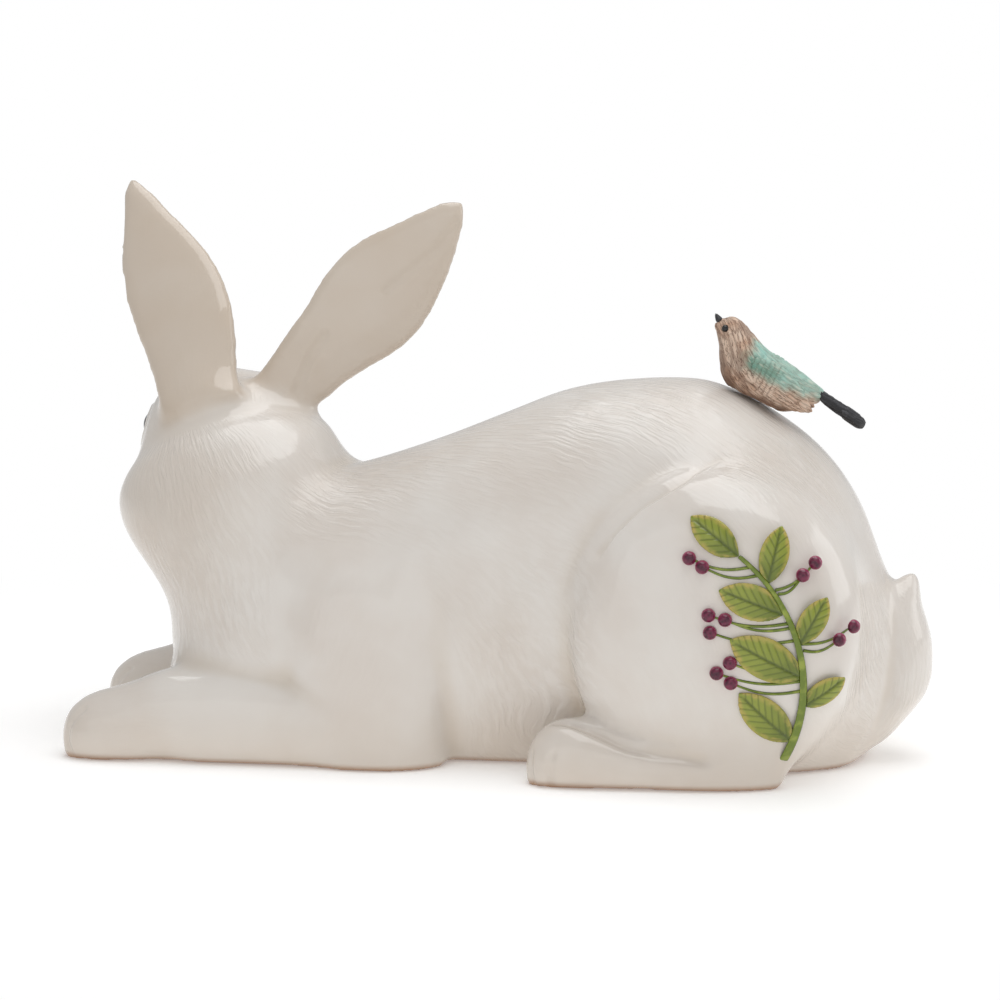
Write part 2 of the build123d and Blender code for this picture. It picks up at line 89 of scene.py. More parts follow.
def joinPieces(*pieces):
    pickOnly(*pieces)
    if len(pieces) > 1:
        bpy.ops.object.join()
    return pieces[0]


def copyOfNodes(name, nodeNames):
    copies = []
    for nodeName in nodeNames:
        copy = bpy.data.objects.new(nodeName + "Copy", nodes[nodeName].data.copy())
        scene.collection.objects.link(copy)
        group = copy.vertex_groups.new(name=nodeName)
        group.add(range(len(copy.data.vertices)), 1.0, "REPLACE")
        copies.append(copy)
    piece = joinPieces(*copies)
    mergeDoubles(piece)
    piece.name = name
    piece.data.name = name
    return piece


def keepOuterSkin(piece):
    # the hollow inside is a loose shell of its own once its holes are plugged
    shells = sorted(separate(piece, "LOOSE"), key=lambda shell: -shell.dimensions.length)
    for shell in shells[1:]:
        bpy.data.objects.remove(shell)
    return shells[0]


def readAll(items, key, width=1, kind=np.float32):
    flat = np.empty(len(items) * width, kind)
    items.foreach_get(key, flat)
    return flat.reshape(-1, width) if width > 1 else flat


def nodeCentre(name):
    low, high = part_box(name)
    return np.array((low + high) / 2) / mm


def ease(share):
    # 0 to 1, soft at both ends
    share = np.clip(share, 0, 1)
    return share * share * (3 - 2 * share)


def ramp(values, low, high):
    return ease((values - low) / (high - low))


def onSide(line, hand):
    # the line as it is for 1, mirrored to the other side of the rabbit for -1
    return [(x, hand * y, z) for x, y, z in line]


def finishPiece(piece, name, material, slot, replaced):
    piece.name = name
    piece.data.name = name
    piece.vertex_groups.clear()
    piece.data.materials.clear()
    piece.data.materials.append(material)
    pickOnly(piece)
    bpy.ops.object.shade_smooth()
    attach(piece, "root")
    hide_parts(*replaced)
    print("piece done:", name, len(piece.data.polygons), "faces")


class Clay:
    # a fine mesh held as points in millimetres, worked the way a modelling tool works clay
    def __init__(self, piece):
        self.piece = piece
        mesh = piece.data
        self.points = readAll(mesh.vertices, "co", 3).astype(float) / mm
        ends = readAll(mesh.edges, "vertices", 2, np.int32)
        self.first, self.second = ends.T
        self.valence = np.maximum(np.bincount(ends.ravel(), minlength=len(self.points)), 1)
        self.ground = np.zeros(len(self.points), bool)

    def write(self):
        self.piece.data.vertices.foreach_set("co", (self.points * mm).astype(np.float32).ravel())
        self.piece.data.update()

    def finish(self, *labels):
        self.write()
        finishPiece(self.piece, *labels)

    def normals(self):
        self.write()
        return readAll(self.piece.data.vertex_normals, "vector", 3).astype(float)

    def gather(self, toFirst, toSecond):
        count = len(self.points)
        return np.bincount(self.first, toFirst, count) + np.bincount(self.second, toSecond, count)

    def spread(self, values, rounds):
        for _ in range(rounds):
            values = self.gather(values[self.second], values[self.first]) / self.valence
        return values

    def relax(self, rounds, weight=1.0, strengths=(0.5,)):
        # moves each point towards its neighbours, only where the weight is above 0
        weight = np.broadcast_to(weight, len(self.points))
        near = (weight[self.first] > 0) | (weight[self.second] > 0)
        used, places = np.unique(np.concatenate([self.first[near], self.second[near]]), return_inverse=True)
        one, two = places.reshape(2, -1)
        count = len(used)
        points, pace, valence, ground = self.points[used], weight[used], self.valence[used], self.ground[used]
        for _ in range(rounds):
            for strength in strengths:
                for axis in range(3):
                    column = points[:, axis]
                    total = np.bincount(one, column[two], count) + np.bincount(two, column[one], count)
                    points[:, axis] += strength * pace * (total / valence - column)
                points[ground, 2] = 0.0
        self.points[used] = points

    def polish(self, rounds, weight=1.0):
        # takes the roughness off without wearing the form down
        self.relax(rounds, weight, (0.5, -0.505))

    def nearLine(self, line, width):
        # 1 on the line, falling smoothly to 0 at that distance from it
        nearest = np.full(len(self.points), np.inf)
        for start, end in zip(line[:-1], line[1:]):
            start = np.array(start, float)
            along = np.array(end, float) - start
            share = np.clip((self.points - start) @ along / (along @ along), 0, 1)
            gap = np.linalg.norm(self.points - start - share[:, None] * along, axis=1)
            nearest = np.minimum(nearest, gap)
        return ease(1 - nearest / width)

    def nearPoint(self, centre, radii):
        gap = np.linalg.norm((self.points - np.array(centre, float)) / np.array(radii, float), axis=1)
        return ease(1 - gap)

    def press(self, mask, depth):
        self.points -= self.normals() * (mask * depth)[:, None]

    def pull(self, mask, move):
        self.points += mask[:, None] * np.array(move, float)

    def onSkin(self, start, way):
        # where a line from start along way first meets the skin
        self.write()
        hit, place = self.piece.ray_cast(Vector(start) * mm, Vector(way).normalized())[:2]
        return np.array(place) / mm if hit else np.array(start, float)

    def store(self, name, values):
        kind = "FLOAT" if values.ndim == 1 else "FLOAT_VECTOR"
        layer = self.piece.data.attributes.new(name, kind, "POINT")
        key = "value" if values.ndim == 1 else "vector"
        layer.data.foreach_set(key, values.astype(np.float32).ravel())

    def storeCrown(self):
        # 1 where the surface faces the viewer's side, 0 at its flanks
        self.store("crown", ramp(-self.normals()[:, 1], 0.0, 1.0))

    def flow(self, guides, reach, rounds, owner, mirrors):
        # lays two coordinates over each casting, across and along the strokes that the guides show;
        # the strokes on the two sides of a casting's mirror plane are each other's mirror image
        normals = self.normals()
        hand = np.ones(len(self.points))
        for casting, place, way in mirrors:
            over = (self.points - np.array(place, float)) @ np.array(way, float)
            hand[(owner == casting) & (over > 0)] = -1
        total = np.zeros_like(self.points)
        for casting, place, way in guides:
            gap = np.linalg.norm(self.points - np.array(place, float), axis=1)
            way = np.array(way, float) / np.linalg.norm(way)
            total += way * ((owner == casting) / (1 + (gap / reach) ** 4))[:, None]
        total -= normals * np.sum(total * normals, axis=1)[:, None]
        along = total / np.maximum(np.linalg.norm(total, axis=1), 1e-9)[:, None]
        across = np.cross(normals, along) * hand[:, None]
        edges = self.points[self.second] - self.points[self.first]
        hold = np.where(owner[self.first] == owner[self.second], 1.0, 0.001)
        coordinates = []
        for ways in (across, along):
            rise = hold * np.sum(edges * (ways[self.first] + ways[self.second]) / 2, axis=1)
            coordinates.append(self.solve(self.gather(-rise, rise), hold, rounds))
        return np.stack(coordinates + [np.zeros(len(self.points))], axis=1)

    def solve(self, wanted, hold, rounds):
        # conjugate gradients on the mesh's own net of edges
        values = np.zeros(len(self.points))
        left = wanted - wanted.mean()
        way = left.copy()
        size = left @ left
        for _ in range(rounds):
            pulls = hold * (way[self.second] - way[self.first])
            slope = self.gather(-pulls, pulls)
            step = size / (way @ slope)
            values += step * way
            left -= step * slope
            nextSize = left @ left
            way = left + nextSize / size * way
            size = nextSize
        return values


# node maths: one wrapped socket, so that sums read as sums
class Wire:
    def __init__(self, tree, socket=None):
        self.tree = tree
        self.socket = socket

    def node(self, kind, settings=None, inputs=None, output=0):
        made = self.tree.nodes.new("ShaderNode" + kind)
        for key, value in (settings or {}).items():
            setattr(made, key, value)
        for key, value in (inputs or {}).items():
            if isinstance(value, Wire):
                self.tree.links.new(value.socket, made.inputs[key])
            else:
                made.inputs[key].default_value = value
        return Wire(self.tree, made.outputs[output]) if made.outputs else None

    def math(self, operation, first, second=0.0):
        return self.node("Math", {"operation": operation}, {0: first, 1: second})

    def __add__(self, other):
        return self.math("ADD", self, other)

    def __radd__(self, other):
        return self.math("ADD", other, self)

    def __sub__(self, other):
        return self.math("SUBTRACT", self, other)

    def __rsub__(self, other):
        return self.math("SUBTRACT", other, self)

    def __mul__(self, other):
        return self.math("MULTIPLY", self, other)

    def __rmul__(self, other):
        return self.math("MULTIPLY", other, self)

    def __truediv__(self, other):
        return self.math("DIVIDE", self, other)

    def __rtruediv__(self, other):
        return self.math("DIVIDE", other, self)

    def between(self, low, high):
        # 0 below low, 1 above high, eased between them
        return self.node("MapRange", {"interpolation_type": "SMOOTHSTEP"},
                         {"Value": self, "From Min": low, "From Max": high})

    def blend(self, under, over):
        return self.node("Mix", {"data_type": "RGBA"}, {0: self, 6: under, 7: over}, 2)

    def noise(self, place, scale, detail=2.0, kind="3D"):
        return self.node("TexNoise", {"noise_dimensions": kind},
                         {"Vector": place, "Scale": scale, "Detail": detail})

    def vector(self, operation, first, second=(0, 0, 0), output="Vector"):
        return self.node("VectorMath", {"operation": operation}, {0: first, 1: second}, output)

    def attribute(self, name, output="Fac"):
        return self.node("Attribute", {"attribute_name": name}, None, output)

    def bump(self, distance, strength):
        return self.node("Bump", None, {"Strength": strength, "Distance": distance, "Height": self})


def startMaterial(name):
    material = bpy.data.materials.new(name)
    material.use_nodes = True
    material.node_tree.nodes.clear()
    wire = Wire(material.node_tree)
    return material, wire, wire.node("TexCoord", None, None, "Object")


def endMaterial(material, tint, roughness, **others):
    shader = tint.node("BsdfPrincipled", None, {"Base Color": tint, "Roughness": roughness, **others})
    tint.node("OutputMaterial", None, {"Surface": shader})
    return material


def colour(red, green, blue):
    # a display colour from 0 to 255 as the renderer's linear value
    linear = []
    for value in (red / 255, green / 255, blue / 255):
        linear.append(value / 12.92 if value < 0.0392 else ((value + 0.055) / 1.055) ** 2.4)
    return (*linear, 1.0)


# camera at the photograph's place
cameraSettings = {
    "azimuth": 8.0,
    "elevation": 9.0,
    "distance": 1600 * mm,
    "target": (0, 0, 100 * mm),
    "viewWidth": 379 * mm,
    "shift": (0.003, -0.014),
}


def makeCamera():
    use = cameraSettings
    turn, rise = math.radians(use["azimuth"]), math.radians(use["elevation"])
    back = Vector((math.sin(turn) * math.cos(rise), -math.cos(turn) * math.cos(rise), math.sin(rise)))
    data = bpy.data.cameras.new("camera")
    camera = bpy.data.objects.new("camera", data)
    scene.collection.objects.link(camera)
    camera.location = Vector(use["target"]) + back * use["distance"]
    camera.rotation_euler = (-back).to_track_quat("-Z", "Y").to_euler()
    data.lens = data.sensor_width * use["distance"] / use["viewWidth"]
    data.shift_x, data.shift_y = use["shift"]
    scene.camera = camera


makeCamera()
print("camera set")


# floor, white surroundings and soft studio lamps
studioSettings = {
    "floorSize": 6.0,
    "floorDrop": 0.2 * mm,
    "floorRoughness": 0.8,
    "floorShine": 0.1,
    "floorColour": (0.94, 0.94, 0.94, 1.0),
    "floorGlow": (0.23, 0.23, 0.23, 1.0),
    "floorBounce": (0.25, 0.241, 0.228, 1.0),
    "shadowReach": (0.22, 0.42),
    "worldStrength": 0.4,
    "mirrorShare": 0.3,
    # name: place, size across and up, watts
    "lamps": {
        "overheadPanel": ((0.1, 0.06, 1.15), (1.3, 0.86), 7.6),
        "rightPanel": ((1.2, 0.25, 0.5), (0.7, 0.8), 2.7),
        "frontFill": ((-0.3, -2.0, 0.4), (3.2, 2.0), 11.0),
    },
    "aim": (0, 0, 0.07),
}


def seenRays(wire):
    # 1 for what the camera sees, less for what the glaze mirrors, and 0 for rays that carry light
    camera = wire.node("LightPath", None, None, "Is Camera Ray")
    mirrored = wire.node("LightPath", None, None, "Is Glossy Ray") * studioSettings["mirrorShare"]
    through = wire.node("LightPath", None, None, "Is Transmission Ray")
    return wire.math("MAXIMUM", camera, wire.math("MAXIMUM", mirrored, through))


def makeFloor():
    use = studioSettings
    bpy.ops.mesh.primitive_plane_add(size=use["floorSize"], location=(0, 0, -use["floorDrop"]))
    floor = bpy.context.object
    floor.name = "studioFloor"
    material, wire, place = startMaterial("studioFloor")
    seen = seenRays(wire)
    away = wire.vector("LENGTH", place, output="Value")
    near = wire.node("BsdfPrincipled", None, {
        "Base Color": use["floorColour"], "Roughness": use["floorRoughness"],
        "Specular IOR Level": use["floorShine"],
        "Emission Color": seen.blend(use["floorBounce"], use["floorGlow"]), "Emission Strength": 1.0})
    far = wire.node("Emission", None, {"Color": (1, 1, 1, 1), "Strength": 1.0})
    fade = seen * away.between(*use["shadowReach"])
    mixed = wire.node("MixShader", None, {0: fade, 1: near, 2: far})
    wire.node("OutputMaterial", None, {"Surface": mixed})
    floor.data.materials.append(material)


def makeStudio():
    use = studioSettings
    makeFloor()
    world = bpy.data.worlds.new("studioWorld")
    world.use_nodes = True
    world.node_tree.nodes.clear()
    wire = Wire(world.node_tree)
    strength = seenRays(wire) * (1.0 - use["worldStrength"]) + use["worldStrength"]
    sky = wire.node("Background", None, {"Color": (1, 1, 1, 1), "Strength": strength})
    wire.node("OutputWorld", None, {"Surface": sky})
    scene.world = world
    for name, (place, size, watts) in use["lamps"].items():
        data = bpy.data.lights.new(name, "AREA")
        data.shape = "RECTANGLE"
        data.size, data.size_y = size
        data.energy = watts
        lamp = bpy.data.objects.new(name, data)
        scene.collection.objects.link(lamp)
        lamp.location = place
        lamp.rotation_euler = (Vector(use["aim"]) - Vector(place)).to_track_quat("-Z", "Y").to_euler()


makeStudio()
scene.view_settings.view_transform = "Standard"
print("studio lit")


# the glaze: cream over white clay, with painted shade in the hollows and painted warm shade on the ears,
# throat and lowest part, fur strokes under it
glazeSettings = {
    "cream": colour(224, 219, 213),
    "creamWarm": colour(218, 210, 202),
    "shadeBeige": colour(200, 185, 168),
    "shade": colour(208, 196, 181),
    "clay": colour(158, 116, 78),
    "strokeColour": colour(204, 193, 182),
    "strokePitch": (0.72, 0.11, 1.0),
    "strokeDepth": 0.00019,
    "strokeDetail": 3.5,
    "strokeEdges": (0.34, 0.68),
    "strokeTint": 0.36,
    "sway": 5.0,
    "swayScale": 48.0,
    "patchScale": 16.0,
    "patchEdges": (0.38, 0.66),
    "cloudScale": 30.0,
    "cloudEdges": (0.3, 0.75),
    # uneven glaze: scale, detail and height of two waves
    "waves": ((55.0, 1.0, 0.9), (170.0, 2.0, 0.45)),
    "rimHeight": 3.2 * mm,
    "rimTint": 0.85,
    "roughness": 0.04,
    "roughnessRange": 0.04,
    "index": 1.52,
}


def glazeMaterial():
    use = glazeSettings
    material, wire, place = startMaterial("creamGlaze")
    flow = wire.attribute("furFlow", "Vector")
    hollowShade, warmShade, fur = (wire.attribute(name) for name in ("hollowShade", "warmShade", "furDepth"))
    height = wire.node("SeparateXYZ", None, {0: place}, "Z")
    swayed = wire.vector("ADD", flow, wire.noise(place, use["swayScale"]) * use["sway"])
    strokes = wire.noise(wire.vector("MULTIPLY", swayed, use["strokePitch"]), 1.0, use["strokeDetail"], "2D")
    lines = strokes.between(*use["strokeEdges"])
    patches = wire.noise(place, use["patchScale"])
    clouds = wire.noise(place, use["cloudScale"], 3.0)
    tint = clouds.between(*use["cloudEdges"]).blend(use["cream"], use["creamWarm"])
    # painted warm shade: darker beige on the ears, the throat and low on the body
    tint = (warmShade * (clouds * 0.5 + 0.75)).blend(tint, use["shadeBeige"])
    strength = fur * (patches.between(*use["patchEdges"]) * 0.8 + 0.2)
    tint = ((1 - lines) * strength * use["strokeTint"]).blend(tint, use["strokeColour"])
    # painted shade: the hollows and creases darkened towards a shaded cream
    tint = hollowShade.blend(tint, use["shade"])
    rim = (1 - height.between(0.0, use["rimHeight"])) * use["rimTint"]
    tint = rim.blend(tint, use["clay"])
    first, second = (wire.noise(place, scale, detail) * high for scale, detail, high in use["waves"])
    bump = (lines * strength + (first + second)).bump(use["strokeDepth"], 1.0)
    shine = clouds * use["roughnessRange"] + use["roughness"]
    return endMaterial(material, tint, shine, Normal=bump, IOR=use["index"])


# the glazed rabbit: the castings luted into one clay form, then worked over
rabbitSettings = {
    "castings": ["body_casting", "head_casting", "left_ear", "right_ear", "left_foreleg", "right_foreleg",
                 "left_hind_foot", "right_hind_foot", "tail"],
    "plugs": ["bird_peg", "left_eye", "right_eye"],
    # numbers of castings in that list
    "head": (1,),
    "ears": (2, 3),
    "forelegs": (4, 5),
    "smooth": (2, 3, 4, 5, 6, 7),
    "tail": 8,
    "groundBand": 0.9,
    "voxel": 1.45 * mm,
    "earCoat": 0.8 * mm,
    "drainPlace": (40, 0),
    "drainRadius": 8,
    "drainDepth": 18,
    "drainWall": 0.8,
    "drainTop": 6,
    # the plug that closes it while the skin is made: wider by, thickness, height of its middle
    "drainPlug": (2, 5, 5.5),
    "luteRounds": 14,
    "earRounds": 240,
    "fineRounds": 40,
    "earEdge": 6,
    "nudgeEdge": 8,
    "flowRounds": 700,
    # stroke guides of each casting: place and way, on the left side; the right side mirrors them
    "guides": {
        "body_casting": [
            ((-105, -35, 100), (0.3, 0, -1)), ((-60, -50, 90), (0.6, 0, -0.8)),
            ((-20, -45, 110), (0.8, 0, -0.55)),
            ((40, -50, 120), (0.85, 0, -0.5)), ((0, -62, 60), (0.6, 0, -0.75)),
            ((90, -76, 60), (0.15, 0, -1)),
            ((60, -60, 110), (0.6, 0, -0.75)), ((140, -40, 80), (0.2, 0, -1)),
            ((-140, -25, 70), (0.2, 0, -1)),
            ((0, -62, 20), (0.7, 0, -0.6)), ((20, 0, 138), (1, 0, 0)), ((-60, 0, 110), (1, 0, -0.2)),
            ((110, 0, 130), (0.9, 0, -0.4)), ((-120, 0, 60), (0.2, 0, -1)),
        ],
        "head_casting": [
            ((-100, 5, 140), (0.34, -0.94, 0.1)), ((-140, 20, 105), (0.34, -0.94, -0.3)),
            ((-85, 40, 105), (0.34, -0.94, -0.3)), ((-120, 60, 120), (0.34, -0.94, 0.2)),
            ((-100, -5, 110), (0.2, -0.5, -0.9)),
        ],
        "left_ear": [((-130, 15, 175), (-0.35, 0.45, 0.82))],
        "right_ear": [((-50, 17, 165), (0.715, 0.105, 0.69))],
        "left_foreleg": [((-110, -55, 25), (-1, 0, -0.1)), ((-40, -56, 50), (-0.4, 0, -1))],
        "right_foreleg": [((-110, 55, 25), (-1, 0, -0.1)), ((-40, 56, 50), (-0.4, 0, -1))],
        "left_hind_foot": [((60, -74, 12), (-1, 0, 0))],
        "right_hind_foot": [((60, 74, 12), (-1, 0, 0))],
        "tail": [((160, 0, 45), (0, 0, -1))],
    },
    "guideReach": 24.0,
    # mirror plane of the strokes on each casting that is round all about
    "mirrors": {
        "body_casting": ((0, 0, 0), (0, 1, 0)),
        "head_casting": ((-95.7, -7.2, 113.9), (-0.94, -0.342, 0)),
        "left_ear": ((-124.5, 17.8, 164.8), (-0.34, 0.94, -0.09)),
        "right_ear": ((-57.0, 16.8, 164.0), (-0.34, 0.94, -0.09)),
        "left_foreleg": ((0, -39, 0), (0, 1, 0)),
        "right_foreleg": ((0, 39, 0), (0, 1, 0)),
    },
    # whole forms nudged to their places: casting numbers, centre, reach, move
    "nudges": [
        ((2,), (-128, 20, 155), (60, 60, 50), (5.6, 0, 0)),
        ((2,), (-148, 42, 208), (14, 14, 16), (-1.2, 0, 0.5)),
        ((3,), (-65, 14, 158), (60, 60, 50), (1.6, 0, -1.6)),
        ((3,), (-17, 23, 202), (28, 28, 24), (-1, 0, 2)),
        ((1, 2, 3), (-98, 16, 146), (28, 36, 20), (0, 0, -8)),
        ((0, 1), (-140, -5, 52), (60, 90, 45), (9.5, 0, 0)),
        ((0,), (140, 0, 98), (40, 90, 44), (3.6, 0, 0)),
        ((8,), (166, 0, 60), (20, 30, 16), (-2, 0, 0)),
        ((8, 0), (162, 0, 6), (30, 40, 28), (-5.5, 0, 0)),
        ((4,), (-158, -38, 12), (14, 24, 16), (-0.7, 0, 0)),
        ((5,), (-158, 38, 12), (14, 24, 16), (-0.7, 0, 0)),
        ((0, 1), (-50, 0, 112), (30, 60, 26), (-4, 0, -2)),
        ((0,), (120, 0, 116), (40, 60, 28), (2.2, 0, 1.2)),
        ((1,), (-141, 23, 117), (20, 20, 20), (2.6, 0.9, 0)),
        ((1,), (-80, 45, 117), (20, 20, 20), (-2.6, -0.9, 0)),
    ],
    # where the skin is worked finer: centre and radius
    "fineSpots": [
        ((-125, 74, 95), 27), ((-142, 22, 117), 13), ((-80, 46, 117), 13),
        ((-155, -38, 8), 19), ((-155, 38, 8), 19), ((26, -62, 8), 21), ((26, 62, 8), 21),
        ((48, -70, 18), 16), ((48, 70, 18), 16), ((70, -58, 108), 26), ((70, 58, 108), 26),
        ((-130, 22, 180), 42), ((-44, 17, 173), 48),
    ],
    "footBevel": 1.5,
    "bevelEdge": (0.45, 0.95),
    "lip": 2.5 * mm,
    "shells": ["glazedTrunk", "glazedHead", "glazedLeftEar", "glazedRightEar", "glazedLeftForeleg",
               "glazedRightForeleg", "glazedLeftHindFoot", "glazedRightHindFoot", "glazedTail"],
}


def castingOfPoints(points, nodeNames):
    owners = []
    tree = KDTree(sum(len(nodes[name].data.vertices) for name in nodeNames))
    for number, name in enumerate(nodeNames):
        for vertex in nodes[name].data.vertices:
            tree.insert(vertex.co, len(owners))
            owners.append(number)
    tree.balance()
    return np.array([owners[tree.find(point)[1]] for point in points * mm])


def luteCastings():
    # the castings fused into one skin, with the hollow inside left out
    use = rabbitSettings
    skin = copyOfNodes("rabbitClay", use["castings"] + use["plugs"])
    drainX, drainY = use["drainPlace"]
    wider, thick, height = use["drainPlug"]
    radius = use["drainRadius"] + wider
    bpy.ops.mesh.primitive_cylinder_add(vertices=48, radius=radius * mm, depth=thick * mm,
                                        location=(drainX * mm, drainY * mm, height * mm))
    joinPieces(skin, bpy.context.object)
    for ear in ("left_ear", "right_ear"):
        applyModifier(skin, "DISPLACE", strength=use["earCoat"], mid_level=0.0, vertex_group=ear)
    applyModifier(skin, "REMESH", mode="VOXEL", voxel_size=use["voxel"], adaptivity=0.0)
    return Clay(keepOuterSkin(skin))


# where a wet finger smooths the clay; ranges run from none to all of it
softSettings = {
    # seams of castings: rounds of widening, strength, rounds of smoothing
    "shoulder": (24, 1.5, 220),
    "neck": (16, 1.4, 70),
    "earRoots": (10, 1.0, 50),
    "shoulderHeight": (38, 60),
    "elbow": ((-34, -16), (50, 75), 0.85),  # ranges along and up of the crease that stays, and its share
    "neckTop": (125, 140),
    "rump": ((76, 106), (26, 62), (64, 76), (141, 150), 450),  # front, foot, flank, rear and rounds
    # on the right side, then mirrored: line and reach, or point and radii, strength, rounds
    "bothSides": [
        ([(143, 20, 75), (141, 28, 62), (137, 38, 45), (134, 43, 30), (131, 46, 8)], 24, 1.6, 240),  # rear
        ([(114, 60, 10)], (40, 30, 26), 1.8, 160),  # heel
        ([(-48, 30, 108), (-70, 44, 88), (-84, 50, 62)], 30, 1.6, 260),  # side of the neck
    ],
    "tail": [([(156, 0, 3)], (28, 32, 24), 1.8, 300), ([(159, 0, 72)], (9, 9, 9), 1.0, 14)],  # foot and tip
    "scoopEnds": [([(-114, 16, 149)], (20, 20, 20), 1.6, 90), ([(-67, 14, 149)], (20, 20, 20), 1.6, 90)],
    "scoopFacing": (0.0, 0.5),
}


def castingShare(clay, owner, castings, rounds):
    # 1 on these castings, fading over their edge
    return clay.spread(np.isin(owner, castings).astype(float), rounds)


def seamBand(clay, owner, castings, rounds, strength):
    # 1 along the edge of these castings, fading on both sides of it
    mine = castingShare(clay, owner, castings, rounds)
    return np.clip(4 * mine * (1 - mine) * strength, 0, 1)


def smoothOver(clay, line, reach, strength, rounds, within=1.0):
    near = clay.nearPoint(line[0], reach) if len(line) == 1 else clay.nearLine(line, reach)
    clay.relax(rounds, np.clip(near * strength, 0, 1) * within)


def workRabbit(clay):
    use, soft = rabbitSettings, softSettings
    clay.ground = clay.points[:, 2] < use["groundBand"]
    clay.points[clay.ground, 2] = 0.0
    owner = castingOfPoints(clay.points, use["castings"])
    clay.store("mould", clay.points)
    clay.ground &= owner != use["tail"]
    x, y, z = clay.points.T.copy()
    ears = castingShare(clay, owner, use["ears"], use["earEdge"])
    clay.polish(use["earRounds"], ears)
    clay.relax(use["luteRounds"], 1 - ears)
    for castings, centre, reach, move in use["nudges"]:
        mine = castingShare(clay, owner, castings, use["nudgeEdge"])
        clay.pull(mine * clay.nearPoint(centre, reach), move)
    spread, strength, rounds = soft["shoulder"]
    elbowAlong, elbowUp, kept = soft["elbow"]
    band = castingShare(clay, owner, use["forelegs"], spread)
    band = 4 * band * (1 - band)
    band *= ramp(z, *soft["shoulderHeight"]) * (1 - kept * ramp(x, *elbowAlong) * (1 - ramp(z, *elbowUp)))
    clay.relax(rounds, np.clip(band * strength, 0, 1))
    front, foot, flank, rear, rounds = soft["rump"]
    rump = ramp(x, *front) * ramp(z, *foot) * (1 - ramp(np.abs(y), *flank)) * (1 - ramp(x, *rear))
    clay.relax(rounds, rump)
    for hand in (1, -1):
        for line, *manner in soft["bothSides"]:
            smoothOver(clay, onSide(line, hand), *manner)
    spread, strength, rounds = soft["neck"]
    neck = seamBand(clay, owner, use["head"], spread, strength)
    clay.relax(rounds, neck * (1 - ramp(z, *soft["neckTop"])))
    spread, strength, rounds = soft["earRoots"]
    clay.relax(rounds, seamBand(clay, owner, use["ears"], spread, strength))
    for place in soft["tail"]:
        smoothOver(clay, *place)
    inside = ramp(clay.normals() @ np.array(faceSettings["facing"]), *soft["scoopFacing"]) * ears
    for place in soft["scoopEnds"]:
        smoothOver(clay, *place, inside)
    clay.points[:, 2] = np.maximum(clay.points[:, 2], 0.0)
    return workFiner(clay)


def workFiner(clay):
    # smaller faces where the modelling tool goes in
    use = rabbitSettings
    clay.write()
    pickOnly(clay.piece)
    bpy.ops.object.mode_set(mode="EDIT")
    bpy.ops.mesh.select_all(action="DESELECT")
    bpy.ops.object.mode_set(mode="OBJECT")
    mesh = clay.piece.data
    centres = readAll(mesh.polygons, "center", 3) / mm
    chosen = np.zeros(len(centres), bool)
    for spot, radius in use["fineSpots"]:
        chosen |= np.linalg.norm(centres - np.array(spot), axis=1) < radius
    mesh.polygons.foreach_set("select", chosen)
    with editing(clay.piece, None):
        bpy.ops.mesh.subdivide(number_cuts=1, smoothness=0.0)
    fine = Clay(clay.piece)
    fine.ground = fine.points[:, 2] < 0.01
    owner = castingOfPoints(readAll(mesh.attributes["mould"].data, "vector", 3), use["castings"])
    fine.polish(use["fineRounds"], castingShare(fine, owner, use["ears"], use["earEdge"]))
    return fine, owner


def sinkDrain(clay):
    use = rabbitSettings
    drainX, drainY = use["drainPlace"]
    across = np.hypot(clay.points[:, 0] - drainX, clay.points[:, 1] - drainY)
    height = clay.points[:, 2]
    inside = (across < use["drainRadius"] - use["drainWall"]) & (height < use["drainTop"])
    clay.points[inside & (height > use["groundBand"]), 2] += use["drainDepth"]


# what a modelling tool cuts into the clay: lines on the skin, half width and depth
toolSettings = {
    # on the left side, mirrored to the right
    "bothSides": [
        ([(37, -52, 27), (34, -56, 45), (35, -59, 60), (41, -62, 76), (50, -62, 91), (61, -61, 102),
          (72, -60, 109), (82, -53, 115), (89, -45, 117)], 7.0, 0.8),  # round the front of the haunch
        ([(30, -62, 24), (42, -67, 22), (53, -70, 18), (59, -71, 16), (70, -72, 14), (86, -71, 12)],
         3.4, 1.6),  # between haunch and hind foot
        ([(36, -64, 23), (42, -67, 22), (48, -68, 20), (53, -70, 18), (58, -71, 16)], 2.2, 0.9),
        ([(31, -73, 13), (30, -73, 7), (30, -71, 1)], 2.2, 0.9),  # outer hind toe
        ([(22, -68, 12), (22, -69, 5), (23, -68, 0)], 2.2, 0.9),  # next hind toe
        ([(23, -59, 17), (20, -58, 10), (20, -58, 0)], 2.2, 0.9),
        ([(26, -50, 16), (22, -51, 8), (22, -51, 0)], 2.2, 0.8),
        ([(-150, -47, 19), (-156, -47, 12), (-157, -47, 6), (-155, -48, 0)], 2.3, 0.9),  # fore toes
        ([(-150, -38, 23), (-157, -38, 15), (-160, -38, 8), (-159, -38, 0)], 2.3, 0.9),
        ([(-150, -29, 19), (-156, -29, 12), (-157, -29, 6), (-155, -29, 0)], 2.3, 0.9),
        ([(-14, -50, 62), (-13, -50, 46), (-12, -47, 27), (-13, -43, 11)], 8.0, 0.5),  # behind the elbow
        ([(147, -7, 69), (150, -16, 55), (151, -20, 41), (150, -20, 26)], 4.0, 0.6),  # beside the tail
    ],
    # the haunch stands proud of the back above this line: line, reach upwards, depth
    "ledge": ([(46, -62, 84), (52, -62, 93), (61, -61, 102), (72, -60, 109), (82, -53, 115), (89, -46, 118)],
              10.0, 1.5),
    "ledgeEdge": (-0.6, 1.0),
    "rightEar": [
        ([(-18, 21, 198), (-25, 19, 189), (-32, 18, 183), (-45, 15, 172)], 2.6, 0.9),  # along the back
        ([(-68, 12, 155), (-73, 11, 148), (-76, 10, 141), (-79, 9, 133)], 3.0, 1.2),  # fold at the root
    ],
    "softRounds": 2,
}


